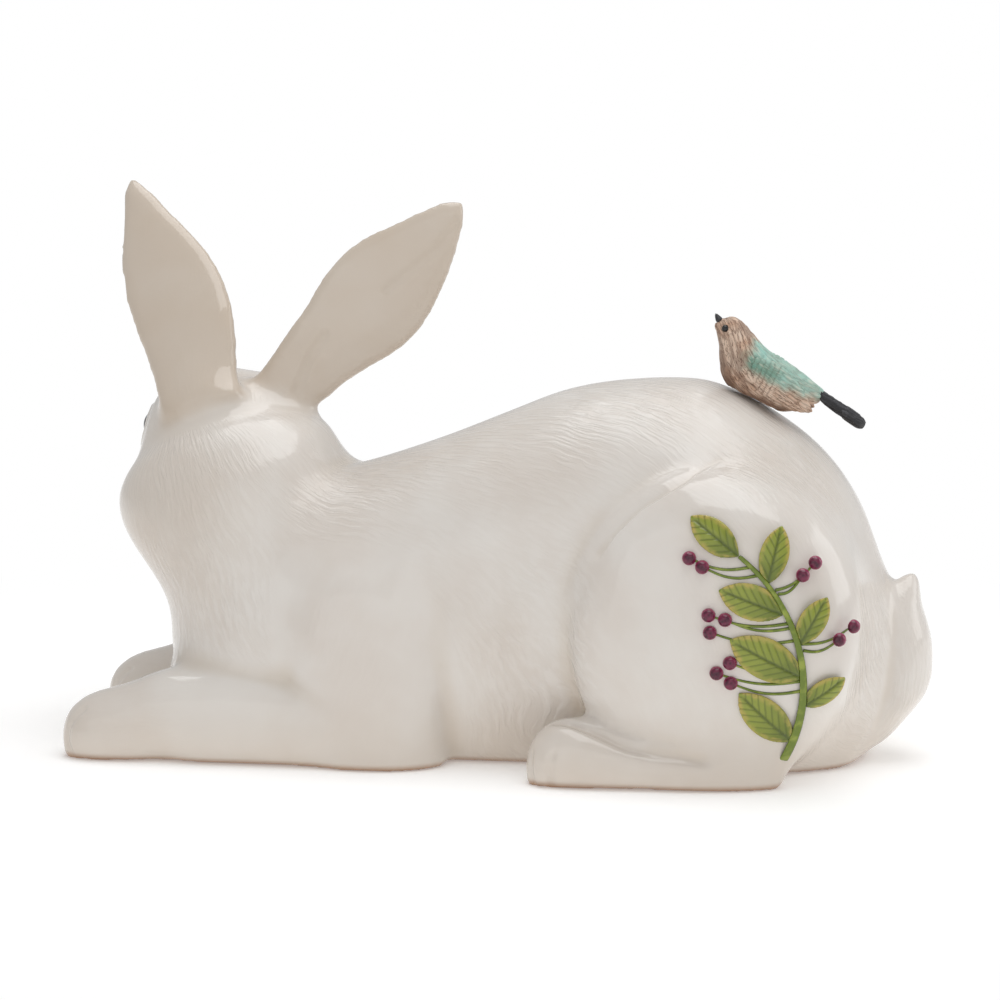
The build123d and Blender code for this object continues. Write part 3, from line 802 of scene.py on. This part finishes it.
def cutLines(clay):
    lines = list(toolSettings["rightEar"])
    for line, *cut in toolSettings["bothSides"]:
        lines += [(onSide(line, hand), *cut) for hand in (1, -1)]
    for line, width, depth in lines:
        clay.press(clay.nearLine(line, width), depth)
    line, reach, depth = toolSettings["ledge"]
    for hand in (1, -1):
        edge = onSide(line, hand)
        above = clay.points[:, 2] - np.interp(clay.points[:, 0], *np.array(edge)[:, [0, 2]].T)
        clay.press(clay.nearLine(edge, reach) * ramp(above, *toolSettings["ledgeEdge"]), depth)
    clay.relax(toolSettings["softRounds"])
    clay.points[:, 2] = np.maximum(clay.points[:, 2], 0.0)


# the face, in the head's own directions: along from the nape, to the left, and up
faceSettings = {
    "nape": (-95.7, -7.2, 113.9),
    "facing": (-0.3407, 0.9361, -0.0872),
    "toLeft": (-0.9397, -0.3420, 0.0),
    "upward": (-0.030, 0.082, 0.996),
    "lidRadius": 7.2,
    "lidWidth": 1.7,
    "lidSwell": 0.7,
    "lidReach": 12,
    "upperLid": (0.6, -2, 6),  # how much fuller, and between which heights
    "eyeDepths": (-6, 12),
    "skinRing": (7.5, 9.5),
    "socketEdge": (5.2, 6.8),
    "eyeSeat": 1.0,
    "eyeBack": 0.3,
    "probeSide": 60,  # how far off the skin is looked for
    "probeFront": 140,
    "eyeSink": 1.6,
    "eyeRise": 3.7,
    # swellings: along, out to each side, up, radius, height
    "swellings": [(70, 11, -16, 15, 2.6), (48, 24, 18, 14, 1.6), (60, 22, -12, 18, 1.4),
                  (84, 0, -9, 6.5, 1.5)],
    # lines across the face: (left, up) pairs, half width, depth
    "lines": [
        ([(0, -14), (0, -22)], 1.7, 1.5),
        ([(0.8, -14), (3.5, -11), (6.5, -11)], 1.8, 1.7),
        ([(0, -22), (4, -24.5), (9, -25), (13, -23)], 2.0, 1.6),
    ],
}


def inHead(along, left, up):
    use = faceSettings
    return (np.array(use["nape"]) + along * np.array(use["facing"])
            + left * np.array(use["toLeft"]) + up * np.array(use["upward"]))


def workFace(clay):
    use = faceSettings
    facing, toLeft = np.array(use["facing"]), np.array(use["toLeft"])
    for along, out, up, radius, height in use["swellings"]:
        for side in (1, -1) if out else (1,):
            place = clay.onSkin(inHead(along, side * (out + use["probeSide"]), up), -side * toLeft)
            if not out:
                place = clay.onSkin(inHead(along + use["probeSide"], 0, up), -facing)
            clay.press(clay.nearPoint(place, (radius, radius, radius)), -height)
    groove = np.zeros(len(clay.points))
    for line, width, depth in use["lines"]:
        for side in (1, -1) if line[-1][0] else (1,):
            share = np.linspace(0, len(line) - 1, 4 * len(line))
            lefts, ups = (np.interp(share, range(len(line)), values) for values in zip(*line))
            starts = [inHead(use["probeFront"], side * left, up) for left, up in zip(lefts, ups)]
            skinLine = [clay.onSkin(start, -facing) for start in starts]
            groove = np.maximum(groove, clay.nearLine(skinLine, width) * depth)
    clay.press(groove, 1.0)
    return [workEyelids(clay, name, side * toLeft) for name, side in (("left_eye", 1), ("right_eye", -1))]


def workEyelids(clay, name, outward):
    # a shallow socket with a swollen lid round it; gives how far out the skin lies there
    use = faceSettings
    offset = clay.points - nodeCentre(name)
    out = offset @ outward
    across = np.linalg.norm(offset - out[:, None] * outward, axis=1)
    deepest, furthest = use["eyeDepths"]
    near = (out > deepest) & (out < furthest)
    inner, outer = use["skinRing"]
    skin = np.median(out[near & (across > inner) & (across < outer)])
    floor = skin - use["eyeSink"]
    inside = (1 - ramp(across, *use["socketEdge"])) * near
    clay.points += np.outer(inside * (floor - out), outward)
    lid = np.exp(-((across - use["lidRadius"]) / use["lidWidth"]) ** 2) * near * (1 - inside)
    fuller, low, high = use["upperLid"]
    clay.press(lid * (1 + fuller * ramp(offset[:, 2], low, high)), -use["lidSwell"])
    clay.relax(2, near * (across < use["lidReach"]))
    return skin


def bevelFoot(clay):
    # the edge of the base rises a little, where the glaze is wiped off before firing
    inner = clay.spread(clay.ground.astype(float), 6)
    bevel = clay.ground * (1 - ramp(inner, *rabbitSettings["bevelEdge"]))
    clay.points[:, 2] += rabbitSettings["footBevel"] * bevel
    clay.ground &= bevel < 0.05
    clay.relax(3, np.clip(clay.spread(bevel, 4) * 4, 0, 1))


# what the glaze needs to know of the skin
skinSettings = {
    "hollowRounds": 12,
    "hollowGain": 1.3,
    "hollowFloor": 0.05,
    "throat": ((-128, -20, 92), (60, 70, 62)),
    "footHeight": (6, 34),
    # how strongly painted warm shade darkens the glaze there
    "earShade": 0.84,
    "throatShade": 0.45,
    "footShade": 0.35,
    # the haunch, with few strokes: ranges out to the side, along and up
    "haunch": ((42, 56), (36, 50), (98, 116)),
    "face": ((70, 0, 8), (85, 85, 85)),
    "plain": 0.85,
    "seamEdge": 6,
    "seamGain": 3.5,
}


def finishSkin(clay, owner):
    use, skin = rabbitSettings, skinSettings
    smooth = np.stack([clay.spread(clay.points[:, axis], skin["hollowRounds"]) for axis in range(3)], axis=1)
    hollow = np.sum((smooth - clay.points) * clay.normals(), axis=1)
    x, y, z = clay.points.T
    ears = castingShare(clay, owner, use["ears"], 12)
    # painted shade in the hollows and creases, weaker on the ears
    hollowShade = np.clip(clay.spread(hollow, 3) * skin["hollowGain"] - skin["hollowFloor"], 0, 1)
    clay.store("hollowShade", hollowShade * (1 - 0.7 * ears))
    # painted warm shade on the ears, the throat and the lowest part of the body
    foot = 1 - ramp(z, *skin["footHeight"])
    throat = clay.nearPoint(*skin["throat"])
    warmShade = skin["earShade"] * ears + skin["throatShade"] * throat + skin["footShade"] * foot
    clay.store("warmShade", np.clip(warmShade, 0, 1))
    guides, mirrors = [], []
    for number, name in enumerate(use["castings"]):
        for place, way in use["guides"][name]:
            guides.append((number, place, way))
            if name == "body_casting":
                guides.append((number, (place[0], -place[1], place[2]), way))
        if name in use["mirrors"]:
            mirrors.append((number, *use["mirrors"][name]))
    clay.store("furFlow", clay.flow(guides, use["guideReach"], use["flowRounds"], owner, mirrors))
    crossed = (owner[clay.first] != owner[clay.second]).astype(float)
    crossing = np.clip(clay.gather(crossed, crossed), 0, 1)
    seam = np.clip(clay.spread(crossing, skin["seamEdge"]) * skin["seamGain"], 0, 1)
    haunchOut, haunchAlong, haunchUp = skin["haunch"]
    haunch = ramp(np.abs(y), *haunchOut) * ramp(x, *haunchAlong) * (1 - ramp(z, *haunchUp))
    limbs = castingShare(clay, owner, use["smooth"], 10)
    middle, reach = skin["face"]
    face = np.clip(1.5 * clay.nearPoint(inHead(*middle), reach), 0, 1)
    plain = skin["plain"] * np.maximum(np.maximum(haunch, limbs), face)
    clay.store("furDepth", (1 - seam) * (1 - plain))
    clay.store("skinNormal", clay.normals())
    clay.write()


def splitShells(clay, owner):
    # one shell for each casting again, closed later by closeShell; they carry the fused skin's normals, so no
    # seam shows
    mesh = clay.piece.data
    mesh.materials.clear()
    for name in rabbitSettings["castings"]:
        mesh.materials.append(bpy.data.materials.new(name))
    corner = readAll(mesh.polygons, "loop_start", kind=np.int32)
    points = readAll(mesh.loops, "vertex_index", kind=np.int32)
    mesh.polygons.foreach_set("material_index", owner[points[corner]].astype(np.int32))
    return separate(clay.piece, "MATERIAL")


def closeShell(shell, lip):
    # the open edge turned inwards by a lip, and the hole closed behind it
    with editing(shell, "DESELECT"):
        bpy.ops.mesh.select_mode(type="EDGE")
        bpy.ops.mesh.select_non_manifold(extend=False, use_wire=False, use_multi_face=False,
                                         use_non_contiguous=False, use_verts=False)
        bpy.ops.mesh.extrude_edges_move()
    mesh = shell.data
    turned = readAll(mesh.vertices, "select", kind=bool)
    normals = readAll(mesh.attributes["skinNormal"].data, "vector", 3)
    places = readAll(mesh.vertices, "co", 3) - np.outer(turned, (lip, lip, lip)) * normals
    mesh.vertices.foreach_set("co", places.astype(np.float32).ravel())
    with editing(shell):
        bpy.ops.mesh.fill_holes(sides=0)


def makeRabbit():
    clay = luteCastings()
    print("rabbit clay:", len(clay.points), "points")
    clay, owner = workRabbit(clay)
    cutLines(clay)
    eyeSkins = workFace(clay)
    print("rabbit worked:", len(clay.points), "points, skin at the eyes", eyeSkins)
    sinkDrain(clay)
    bevelFoot(clay)
    finishSkin(clay, owner)
    return clay, owner, eyeSkins


def finishShells(clay, owner):
    glaze = glazeMaterial()
    for shell in splitShells(clay, owner):
        number = rabbitSettings["castings"].index(shell.data.materials[0].name)
        casting = rabbitSettings["castings"][number]
        closeShell(shell, rabbitSettings["lip"])
        finishPiece(shell, rabbitSettings["shells"][number], glaze, "cream_glaze", [casting])
        normals = readAll(shell.data.attributes["skinNormal"].data, "vector", 3)
        shell.data.normals_split_custom_set_from_vertices(normals.tolist())


# eyes: a dark pupil in a grey-blue ring, under clear glaze
eyeSettings = {
    "pupil": colour(22, 19, 20),
    "ring": colour(118, 134, 144),
    "ringDark": colour(78, 94, 106),
    "rim": colour(48, 44, 44),
    "pupilEdge": (3.1, 3.5),  # millimetres from the middle
    "ringEdge": (5.0, 5.6),
}


def eyeMaterial():
    use = eyeSettings
    material, wire, place = startMaterial("eyeGlaze")
    across = wire.attribute("across")
    threads = wire.noise(place, 500.0, 3.0)
    tint = threads.between(0.35, 0.7).blend(use["ring"], use["ringDark"])
    tint = across.between(*use["ringEdge"]).blend(tint, use["rim"])
    tint = across.between(*use["pupilEdge"]).blend(use["pupil"], tint)
    return endMaterial(material, tint, threads * 0.03 + 0.05, IOR=glazeSettings["index"])


def makeEye(name, nodeName, outward, skin, material):
    # the ball pressed to a low dome that stands a little out of its socket
    use = faceSettings
    clay = Clay(copyOfNodes(name, [nodeName]))
    centre = nodeCentre(nodeName)
    radius = np.ptp(clay.points[:, 2]) / 2
    offset = clay.points - centre
    out = offset @ outward
    flat = offset - np.outer(out, outward)
    rise = use["eyeRise"] + use["eyeSink"] + use["eyeSeat"]
    base = skin + use["eyeRise"] - rise
    dome = skin + use["eyeRise"] - rise * (1 - out / radius)
    clay.points = centre + flat + np.outer(np.where(out > 0, dome, base + use["eyeBack"] * out), outward)
    clay.store("across", np.linalg.norm(flat, axis=1))
    clay.finish(name, material, "eye_glaze", [nodeName])


rabbit, castingOf, eyeSkins = makeRabbit()
eyeGlaze = eyeMaterial()
outward = np.array(faceSettings["toLeft"])
makeEye("leftEye", "left_eye", outward, eyeSkins[0], eyeGlaze)
makeEye("rightEye", "right_eye", -outward, eyeSkins[1], eyeGlaze)


def paintNode(name, material):
    node = nodes[name]
    node.data.materials.clear()
    node.data.materials.append(material)
    print("node painted:", name)


# the raised sprig: stem, veined leaves, berries and their thin stalks
sprigSettings = {
    "leaves": 7,
    "voxel": 0.34 * mm,
    "dome": 0.7,
    "ribWidth": 0.55,
    "ribDepth": 0.45,
    "veinPitch": 3.4,
    "veinSlant": 1.15,
    "veinWidth": 0.38,
    "veinDepth": 0.22,
    "stalkRadius": 0.55,
    "stalkPoints": 9,
    "stalkBelow": 3,
    "stalkSag": 2.2,
    "stalkProud": 0.1,
    "stalkTaper": (1.15, 0.4),
    "dimplePlace": (0.5, 0, 0.4),
    "dimpleRadii": (1.1, 1.1, 1.1),
    "dimpleDepth": 0.35,
    "index": 1.5,
}
leafSettings = {
    "heart": colour(98, 112, 36),
    "blade": colour(140, 150, 58),
    "tip": colour(182, 164, 84),
    "vein": colour(76, 90, 30),
}
# the stem's green, its painted pale highlight and its painted dark shade
stemSettings = {"green": colour(104, 122, 36), "paleHighlight": colour(150, 162, 66), "dark": colour(70, 84, 24)}
berrySettings = {"plum": colour(112, 28, 62), "rose": colour(158, 62, 96), "dark": colour(66, 14, 38)}


def leafMaterial():
    use = leafSettings
    material, wire, place = startMaterial("leafGlaze")
    along, edge, vein = (wire.attribute(name) for name in ("leafAlong", "leafEdge", "vein"))
    brush = wire.noise(place, 420.0, 3.0)
    wash = wire.noise(place, 120.0, 2.0)
    tint = (along + wash * 0.5).between(0.15, 0.95).blend(use["heart"], use["blade"])
    tint = ((edge * 0.7 + along * 0.5) * brush * 1.3).between(0.25, 0.85).blend(tint, use["tip"])
    tint = (vein * 0.85).blend(tint, use["vein"])
    tint = (brush.between(0.55, 0.8) * 0.35).blend(tint, use["heart"])
    bump = brush.bump(0.2 * mm, 0.3)
    return endMaterial(material, tint, wash * 0.06 + 0.08, Normal=bump, IOR=sprigSettings["index"])


def stemMaterial():
    use = stemSettings
    material, wire, place = startMaterial("stemGlaze")
    crown = wire.attribute("crown")
    brush = wire.noise(place, 260.0, 3.0)
    # painted shade darkens the stem's flanks, and a painted pale highlight lies along its crown
    tint = crown.between(0.2, 0.9).blend(use["dark"], use["green"])
    tint = (brush.between(0.45, 0.75) * crown).blend(tint, use["paleHighlight"])
    return endMaterial(material, tint, brush * 0.12 + 0.12, IOR=sprigSettings["index"])


def berryMaterial():
    use = berrySettings
    material, wire, place = startMaterial("berryGlaze")
    crown, dimple = wire.attribute("crown"), wire.attribute("dimple")
    brush = wire.noise(place, 520.0, 3.0)
    tint = brush.between(0.35, 0.7).blend(use["plum"], use["dark"])
    tint = ((1 - crown.between(0.25, 0.8)) * 0.8).blend(tint, use["rose"])
    tint = (dimple * 0.9).blend(tint, use["dark"])
    return endMaterial(material, tint, brush * 0.1 + 0.12, IOR=sprigSettings["index"])


def fineCopy(nodeName, voxel, polishRounds):
    piece = copyOfNodes(nodeName + "Fine", [nodeName])
    applyModifier(piece, "REMESH", mode="VOXEL", voxel_size=voxel, adaptivity=0.0)
    clay = Clay(piece)
    clay.polish(polishRounds)
    return clay


def makeLeaf(number, stemPoints, material):
    use = sprigSettings
    name = f"sprig_leaf_{number}"
    clay = fineCopy(name, use["voxel"], 8)
    flat = clay.points[:, [0, 2]]
    middle = flat.mean(axis=0)
    way = np.linalg.svd(flat - middle, full_matrices=False)[2][0]
    ends = [middle + way * share * np.ptp((flat - middle) @ way) / 2 for share in (-1, 1)]
    gaps = [np.linalg.norm(stemPoints[:, [0, 2]] - end, axis=1).min() for end in ends]
    if gaps[1] < gaps[0]:
        way = -way
    along = (flat - middle) @ way
    across = (flat - middle) @ np.array([-way[1], way[0]])
    length, half = np.ptp(along), np.ptp(across) / 2
    share = (along - along.min()) / length
    front = ramp(-clay.normals()[:, 1], 0.2, 0.6)
    roof = np.sin(np.pi * np.clip(share, 0, 1)) * np.clip(1 - (across / half) ** 2, 0, 1)
    rib = np.exp(-(across / use["ribWidth"]) ** 2) * (1 - ramp(share, 0.85, 0.97))
    lane = (along - use["veinSlant"] * np.abs(across)) / use["veinPitch"] + np.where(across > 0, 0.5, 0.0)
    gap = np.abs(lane - np.round(lane)) * use["veinPitch"]
    side = np.exp(-(gap / use["veinWidth"]) ** 2) * (1 - ramp(np.abs(across) / half, 0.6, 0.9))
    clay.press(front * roof, -use["dome"])
    clay.press(front * rib, use["ribDepth"])
    clay.press(front * side, use["veinDepth"])
    clay.store("vein", np.maximum(rib, side * 0.75) * front)
    clay.store("leafAlong", share)
    clay.store("leafEdge", ramp(np.abs(across) / (half * np.maximum(np.sin(np.pi * share), 0.15)), 0.45, 1.0))
    clay.finish(f"sprigLeaf{number}", material, "leaf_green", [name])


def makeBerries():
    use = sprigSettings
    clay = fineCopy("sprig_berries", use["voxel"], 4)
    berries = separate(clay.piece, "LOOSE")
    centres = []
    for berry in berries:
        clay = Clay(berry)
        centres.append(clay.points.mean(axis=0))
        front = clay.points[clay.points[:, 1].argmin()]
        dimple = clay.nearPoint(front + np.array(use["dimplePlace"]), use["dimpleRadii"])
        clay.press(dimple, use["dimpleDepth"])
        clay.store("dimple", dimple)
        clay.storeCrown()
    finishPiece(joinPieces(*berries), "sprigBerries", berryMaterial(), "berry_red", ["sprig_berries"])
    return centres


def makeStalks(centres, stemPoints, material):
    use = sprigSettings
    data = bpy.data.curves.new("sprigStalks", "CURVE")
    data.dimensions = "3D"
    data.bevel_depth = use["stalkRadius"] * mm
    data.bevel_resolution = 3
    data.use_fill_caps = True
    thick, taper = use["stalkTaper"]
    for centre in centres:
        below = stemPoints[stemPoints[:, 2] < centre[2] - use["stalkBelow"]]
        root = below[np.linalg.norm((below - centre)[:, [0, 2]], axis=1).argmin()]
        spline = data.splines.new("NURBS")
        spline.points.add(use["stalkPoints"] - 1)
        for number, point in enumerate(spline.points):
            share = number / (use["stalkPoints"] - 1)
            x, z = (1 - share) * root[[0, 2]] + share * centre[[0, 2]]
            z -= use["stalkSag"] * math.sin(math.pi * share)
            place = rabbit.onSkin((x, -150, z), (0, 1, 0)) - np.array([0, use["stalkProud"], 0])
            point.co = (*(place * mm), 1.0)
            point.radius = thick - taper * share
        spline.order_u = 3
        spline.use_endpoint_u = True
    stalks = bpy.data.objects.new("sprigStalks", data)
    scene.collection.objects.link(stalks)
    pickOnly(stalks)
    bpy.ops.object.convert(target="MESH")
    stalks = bpy.context.object
    mergeDoubles(stalks)
    # the crown drives the stem glaze's painted highlight and painted shade on the stalks too
    Clay(stalks).storeCrown()
    finishPiece(stalks, "sprigStalks", material, "leaf_green", [])


def makeSprig():
    use = sprigSettings
    green = stemMaterial()
    stem = fineCopy("sprig_stem", use["voxel"], 3)
    stem.relax(5)
    stem.storeCrown()
    stemPoints = stem.points.copy()
    stem.finish("sprigStem", green, "leaf_green", ["sprig_stem"])
    leafGreen = leafMaterial()
    for number in range(1, use["leaves"] + 1):
        makeLeaf(number, stemPoints, leafGreen)
    makeStalks(makeBerries(), stemPoints, green)


makeSprig()
print("sprig done")
finishShells(rabbit, castingOf)
print("rabbit done")


# the bird: carved strokes, then matt cold paint
birdSettings = {
    "seat": (97.5, 0.0, 134.9),
    "back": (0.905, 0.0, -0.426),
    "upward": (0.426, 0.0, 0.905),
    "bodyVoxel": 0.38 * mm,
    "fineVoxel": 0.34 * mm,
    "strokeDepth": 0.24,
    "strokePitch": (0.5, 0.1),
    "strokeWidth": (0.05, 0.3),
    "hairPitch": (1.5, 0.2, 1.0),
    "flowRounds": 400,
    "guideReach": 7.0,
    # stroke guides in the bird's own directions: back, side, up, and the way of the stroke
    "guides": [
        ((-22, 3, 21), (1, 0, -0.3)), ((-21, 5, 14), (0.6, 0, -1)), ((-22, 5, 6), (0.35, 0, -1)),
        ((-6, 9, 5), (0.9, 0, -0.5)), ((0, 6, 16), (1, 0, -0.2)), ((16, 5, 10), (1, 0, -0.1)),
        ((-26, 0, 10), (0.1, 0, -1)),
    ],
    "wingPitch": 1.4,
    "wingSlant": 0.18,
    "wingScales": 0.45,  # the share of the wing that small feathers cover
    "wingTip": (0.78, 0.92),
    "tailTip": (0.8, 1.04),
    "beakStretch": (0.85, 1.3, 0.68),
    "beakSwell": 0.5,
    "scalePitch": 2.0,
    "tailPitch": 1.7,
    "featherWidth": 0.24,
    "featherDepth": 0.36,
    "waver": 0.3,
    "tailDroop": 0.15,
}
birdPaint = {
    "brown": colour(198, 160, 134),
    "sand": colour(222, 198, 178),
    "dust": colour(222, 206, 190),
    "line": colour(98, 68, 52),
    "turquoise": colour(142, 206, 196),
    "teal": colour(52, 146, 128),
    "under": colour(132, 98, 74),
    "black": colour(42, 42, 46),
    "grey": colour(96, 96, 100),
    "cut": colour(18, 18, 20),
    "bead": colour(12, 12, 14),
    "beadWorn": colour(34, 32, 34),
    "steel": colour(150, 152, 156),
    "steelPale": colour(184, 186, 190),
}


def inBird(points):
    use = birdSettings
    offset = points - np.array(use["seat"])
    return offset @ np.array(use["back"]), offset[:, 1], offset @ np.array(use["upward"])


def fromBird(back, side, up):
    use = birdSettings
    return (np.array(use["seat"]) + back * np.array(use["back"])
            + side * np.array([0, 1, 0]) + up * np.array(use["upward"]))


def paintPlace(wire, place):
    # the same directions in the paint: back along the bird, and up
    use = birdSettings
    offset = wire.vector("SUBTRACT", place, Vector(use["seat"]) * mm)
    return [wire.vector("DOT_PRODUCT", offset, use[way], "Value") / mm for way in ("back", "upward")]


def birdMaterial():
    use = birdPaint
    material, wire, place = startMaterial("birdPaint")
    carved = wire.attribute("carved")
    back, up = paintPlace(wire, place)
    combed = wire.vector("MULTIPLY", wire.attribute("strokeFlow", "Vector"), birdSettings["hairPitch"])
    hairs = wire.noise(combed, 1.0, 3.0, "2D")
    scratch = 1 - wire.math("ABSOLUTE", hairs - 0.5).between(0.008, 0.045)
    ragged = wire.noise(place, 240.0, 4.0) * 9.0 - 4.5
    wash = wire.noise(place, 130.0, 3.0)
    tint = wash.between(0.3, 0.7).blend(use["brown"], use["sand"])
    tint = ((1 - (up + ragged * 0.4).between(1.0, 6.0)) * 0.8).blend(tint, use["under"])
    mantle = (back + ragged).between(-12.0, -6.0) * (up + ragged * 0.6).between(8.0, 13.0)
    shoulder = (1 - (back + ragged).between(0.0, 9.0)) * (1 - up.between(14.0, 18.0))
    cover = (wash * 0.5 + 0.5) * mantle
    tint = cover.blend(tint, (shoulder * 0.9).blend(use["turquoise"], use["teal"]))
    tint = (hairs.between(0.55, 0.7) * 0.4).blend(tint, use["dust"])
    tint = (carved * (0.5 - mantle * 0.3)).blend(tint, use["line"])
    tint = (scratch * (0.85 - mantle * 0.55)).blend(tint, use["line"])
    grain = wire.noise(place, 900.0, 2.0) - scratch
    return endMaterial(material, tint, wash * 0.2 + 0.5, Normal=grain.bump(0.2 * mm, 0.5))


def tailMaterial():
    use = birdPaint
    material, wire, place = startMaterial("birdBlack")
    wear = wire.noise(place, 420.0, 4.0)
    tint = (wear.between(0.5, 0.75) * 0.6).blend(use["black"], use["grey"])
    tint = (wire.attribute("carved") * 0.8).blend(tint, use["cut"])
    return endMaterial(material, tint, wear * 0.25 + 0.4)


def strokeFlow(clay):
    use = birdSettings
    guides = []
    for (back, side, up), (wayBack, waySide, wayUp) in use["guides"]:
        for hand in (1, -1):
            way = fromBird(wayBack, hand * waySide, wayUp) - np.array(use["seat"])
            guides.append((0, fromBird(back, hand * side, up), way))
    mirrors = [(0, use["seat"], (0, 1, 0))]
    return clay.flow(guides, use["guideReach"], use["flowRounds"], np.zeros(len(clay.points)), mirrors)


def carve(flow):
    use = birdSettings
    wide, long = use["strokePitch"]
    cut = np.array([noise.noise(Vector((a * wide, b * long, 0.0))) for a, b, c in flow])
    return 1 - ramp(np.abs(cut), *use["strokeWidth"])


def featherLines(gap):
    return np.exp(-(gap / birdSettings["featherWidth"]) ** 2)


def waver(clay):
    # the unsteady hand of the carver
    return birdSettings["waver"] * np.array([noise.noise(Vector(point) * 0.45) for point in clay.points])


def laneGap(lanes, pitch):
    return np.abs(lanes - np.round(lanes)) * pitch


def scaleGap(back, up, pitch):
    # how far from the rounded rear edge of the nearest small feather, in staggered rows
    row = np.floor(back / pitch)
    column = up / pitch + 0.5 * (row % 2)
    reach = np.hypot(back / pitch - row, column - np.round(column))
    return np.abs(reach - 0.8) * pitch


def makeBody(paint):
    use = birdSettings
    body = fineCopy("bird_body", use["bodyVoxel"], 5)
    flow = strokeFlow(body)
    body.store("strokeFlow", flow)
    cut = carve(flow)
    body.press(cut, use["strokeDepth"])
    body.store("carved", cut)
    body.finish("birdBody", paint, "bird_brown", ["bird_body"])


def makeWing(name, node, paint):
    use = birdSettings
    wing = fineCopy(node, use["fineVoxel"], 5)
    back, side, up = inBird(wing.points)
    share = (back - back.min()) / np.ptp(back)
    shake = waver(wing)
    rows = up + use["wingSlant"] * back
    lines = featherLines(laneGap(rows / use["wingPitch"] + shake, use["wingPitch"]))
    scales = featherLines(scaleGap(back + shake, up + shake, use["scalePitch"]))
    lines = np.where(share > use["wingScales"], lines, scales)
    lines *= 1 - 0.5 * np.exp(-((share - use["wingScales"]) / 0.04) ** 2)
    wing.press(lines, use["featherDepth"])
    wing.relax(14, ramp(share, *use["wingTip"]))
    wing.store("carved", lines)
    wing.store("strokeFlow", np.stack([rows, back, np.zeros(len(back))], axis=1))
    wing.finish(name, paint, "bird_turquoise", [node])


def makeTail(black):
    use = birdSettings
    tail = fineCopy("bird_tail", use["fineVoxel"], 4)
    back, side, up = inBird(tail.points)
    share = (back - back.min()) / np.ptp(back)
    girth = np.sqrt(np.clip(1 - 0.9 * ramp(share, *use["tailTip"]) ** 2, 0.05, 1))
    girth *= 0.85 + 0.25 * ramp(share, 0, 0.7)
    middle = (up.max() + up.min()) / 2
    height = middle + (up - middle) * girth - use["tailDroop"] * (back - back.min())
    tail.points = fromBird(back[:, None], (side * girth)[:, None], height[:, None])
    tail.relax(3)
    shake = waver(tail)
    pitch = use["tailPitch"]
    across, upright = (featherLines(laneGap(rows / pitch + shake, pitch)) for rows in (side, height))
    lines = np.maximum(across, upright)
    tail.press(lines, use["featherDepth"])
    tail.store("carved", lines)
    tail.finish("birdTail", black, "bird_black", ["bird_tail"])


def makeBeak(black):
    use = birdSettings
    beak = fineCopy("bird_beak", use["fineVoxel"] * 0.6, 4)
    low, high = beak.points.min(axis=0), beak.points.max(axis=0)
    root = np.array([high[0], 0, low[2]])
    beak.points = root + (beak.points - root) * np.array(use["beakStretch"])
    unit = np.ones(len(beak.points))
    beak.press(unit, -use["beakSwell"])
    beak.relax(14)
    beak.store("carved", unit * 0)
    beak.finish("birdBeak", black, "bird_black", ["bird_beak"])


def makeBird():
    paint, black = birdMaterial(), tailMaterial()
    makeBody(paint)
    makeWing("birdLeftWing", "bird_left_wing", paint)
    makeWing("birdRightWing", "bird_right_wing", paint)
    makeTail(black)
    makeBeak(black)


def beadMaterial():
    material, wire, place = startMaterial("birdEye")
    wear = wire.noise(place, 600.0, 2.0)
    tint = wear.between(0.4, 0.8).blend(birdPaint["bead"], birdPaint["beadWorn"])
    return endMaterial(material, tint, wear * 0.1 + 0.1)


def steelMaterial():
    material, wire, place = startMaterial("pegSteel")
    drawn = wire.vector("MULTIPLY", place, (1.0, 1.0, 0.05))
    wear = wire.noise(drawn, 900.0)
    tint = wear.between(0.3, 0.7).blend(birdPaint["steel"], birdPaint["steelPale"])
    return endMaterial(material, tint, wear * 0.2 + 0.25, Metallic=1.0)


makeBird()
bead = beadMaterial()
paintNode("bird_left_eye", bead)
paintNode("bird_right_eye", bead)
paintNode("bird_peg", steelMaterial())
print("bird done")
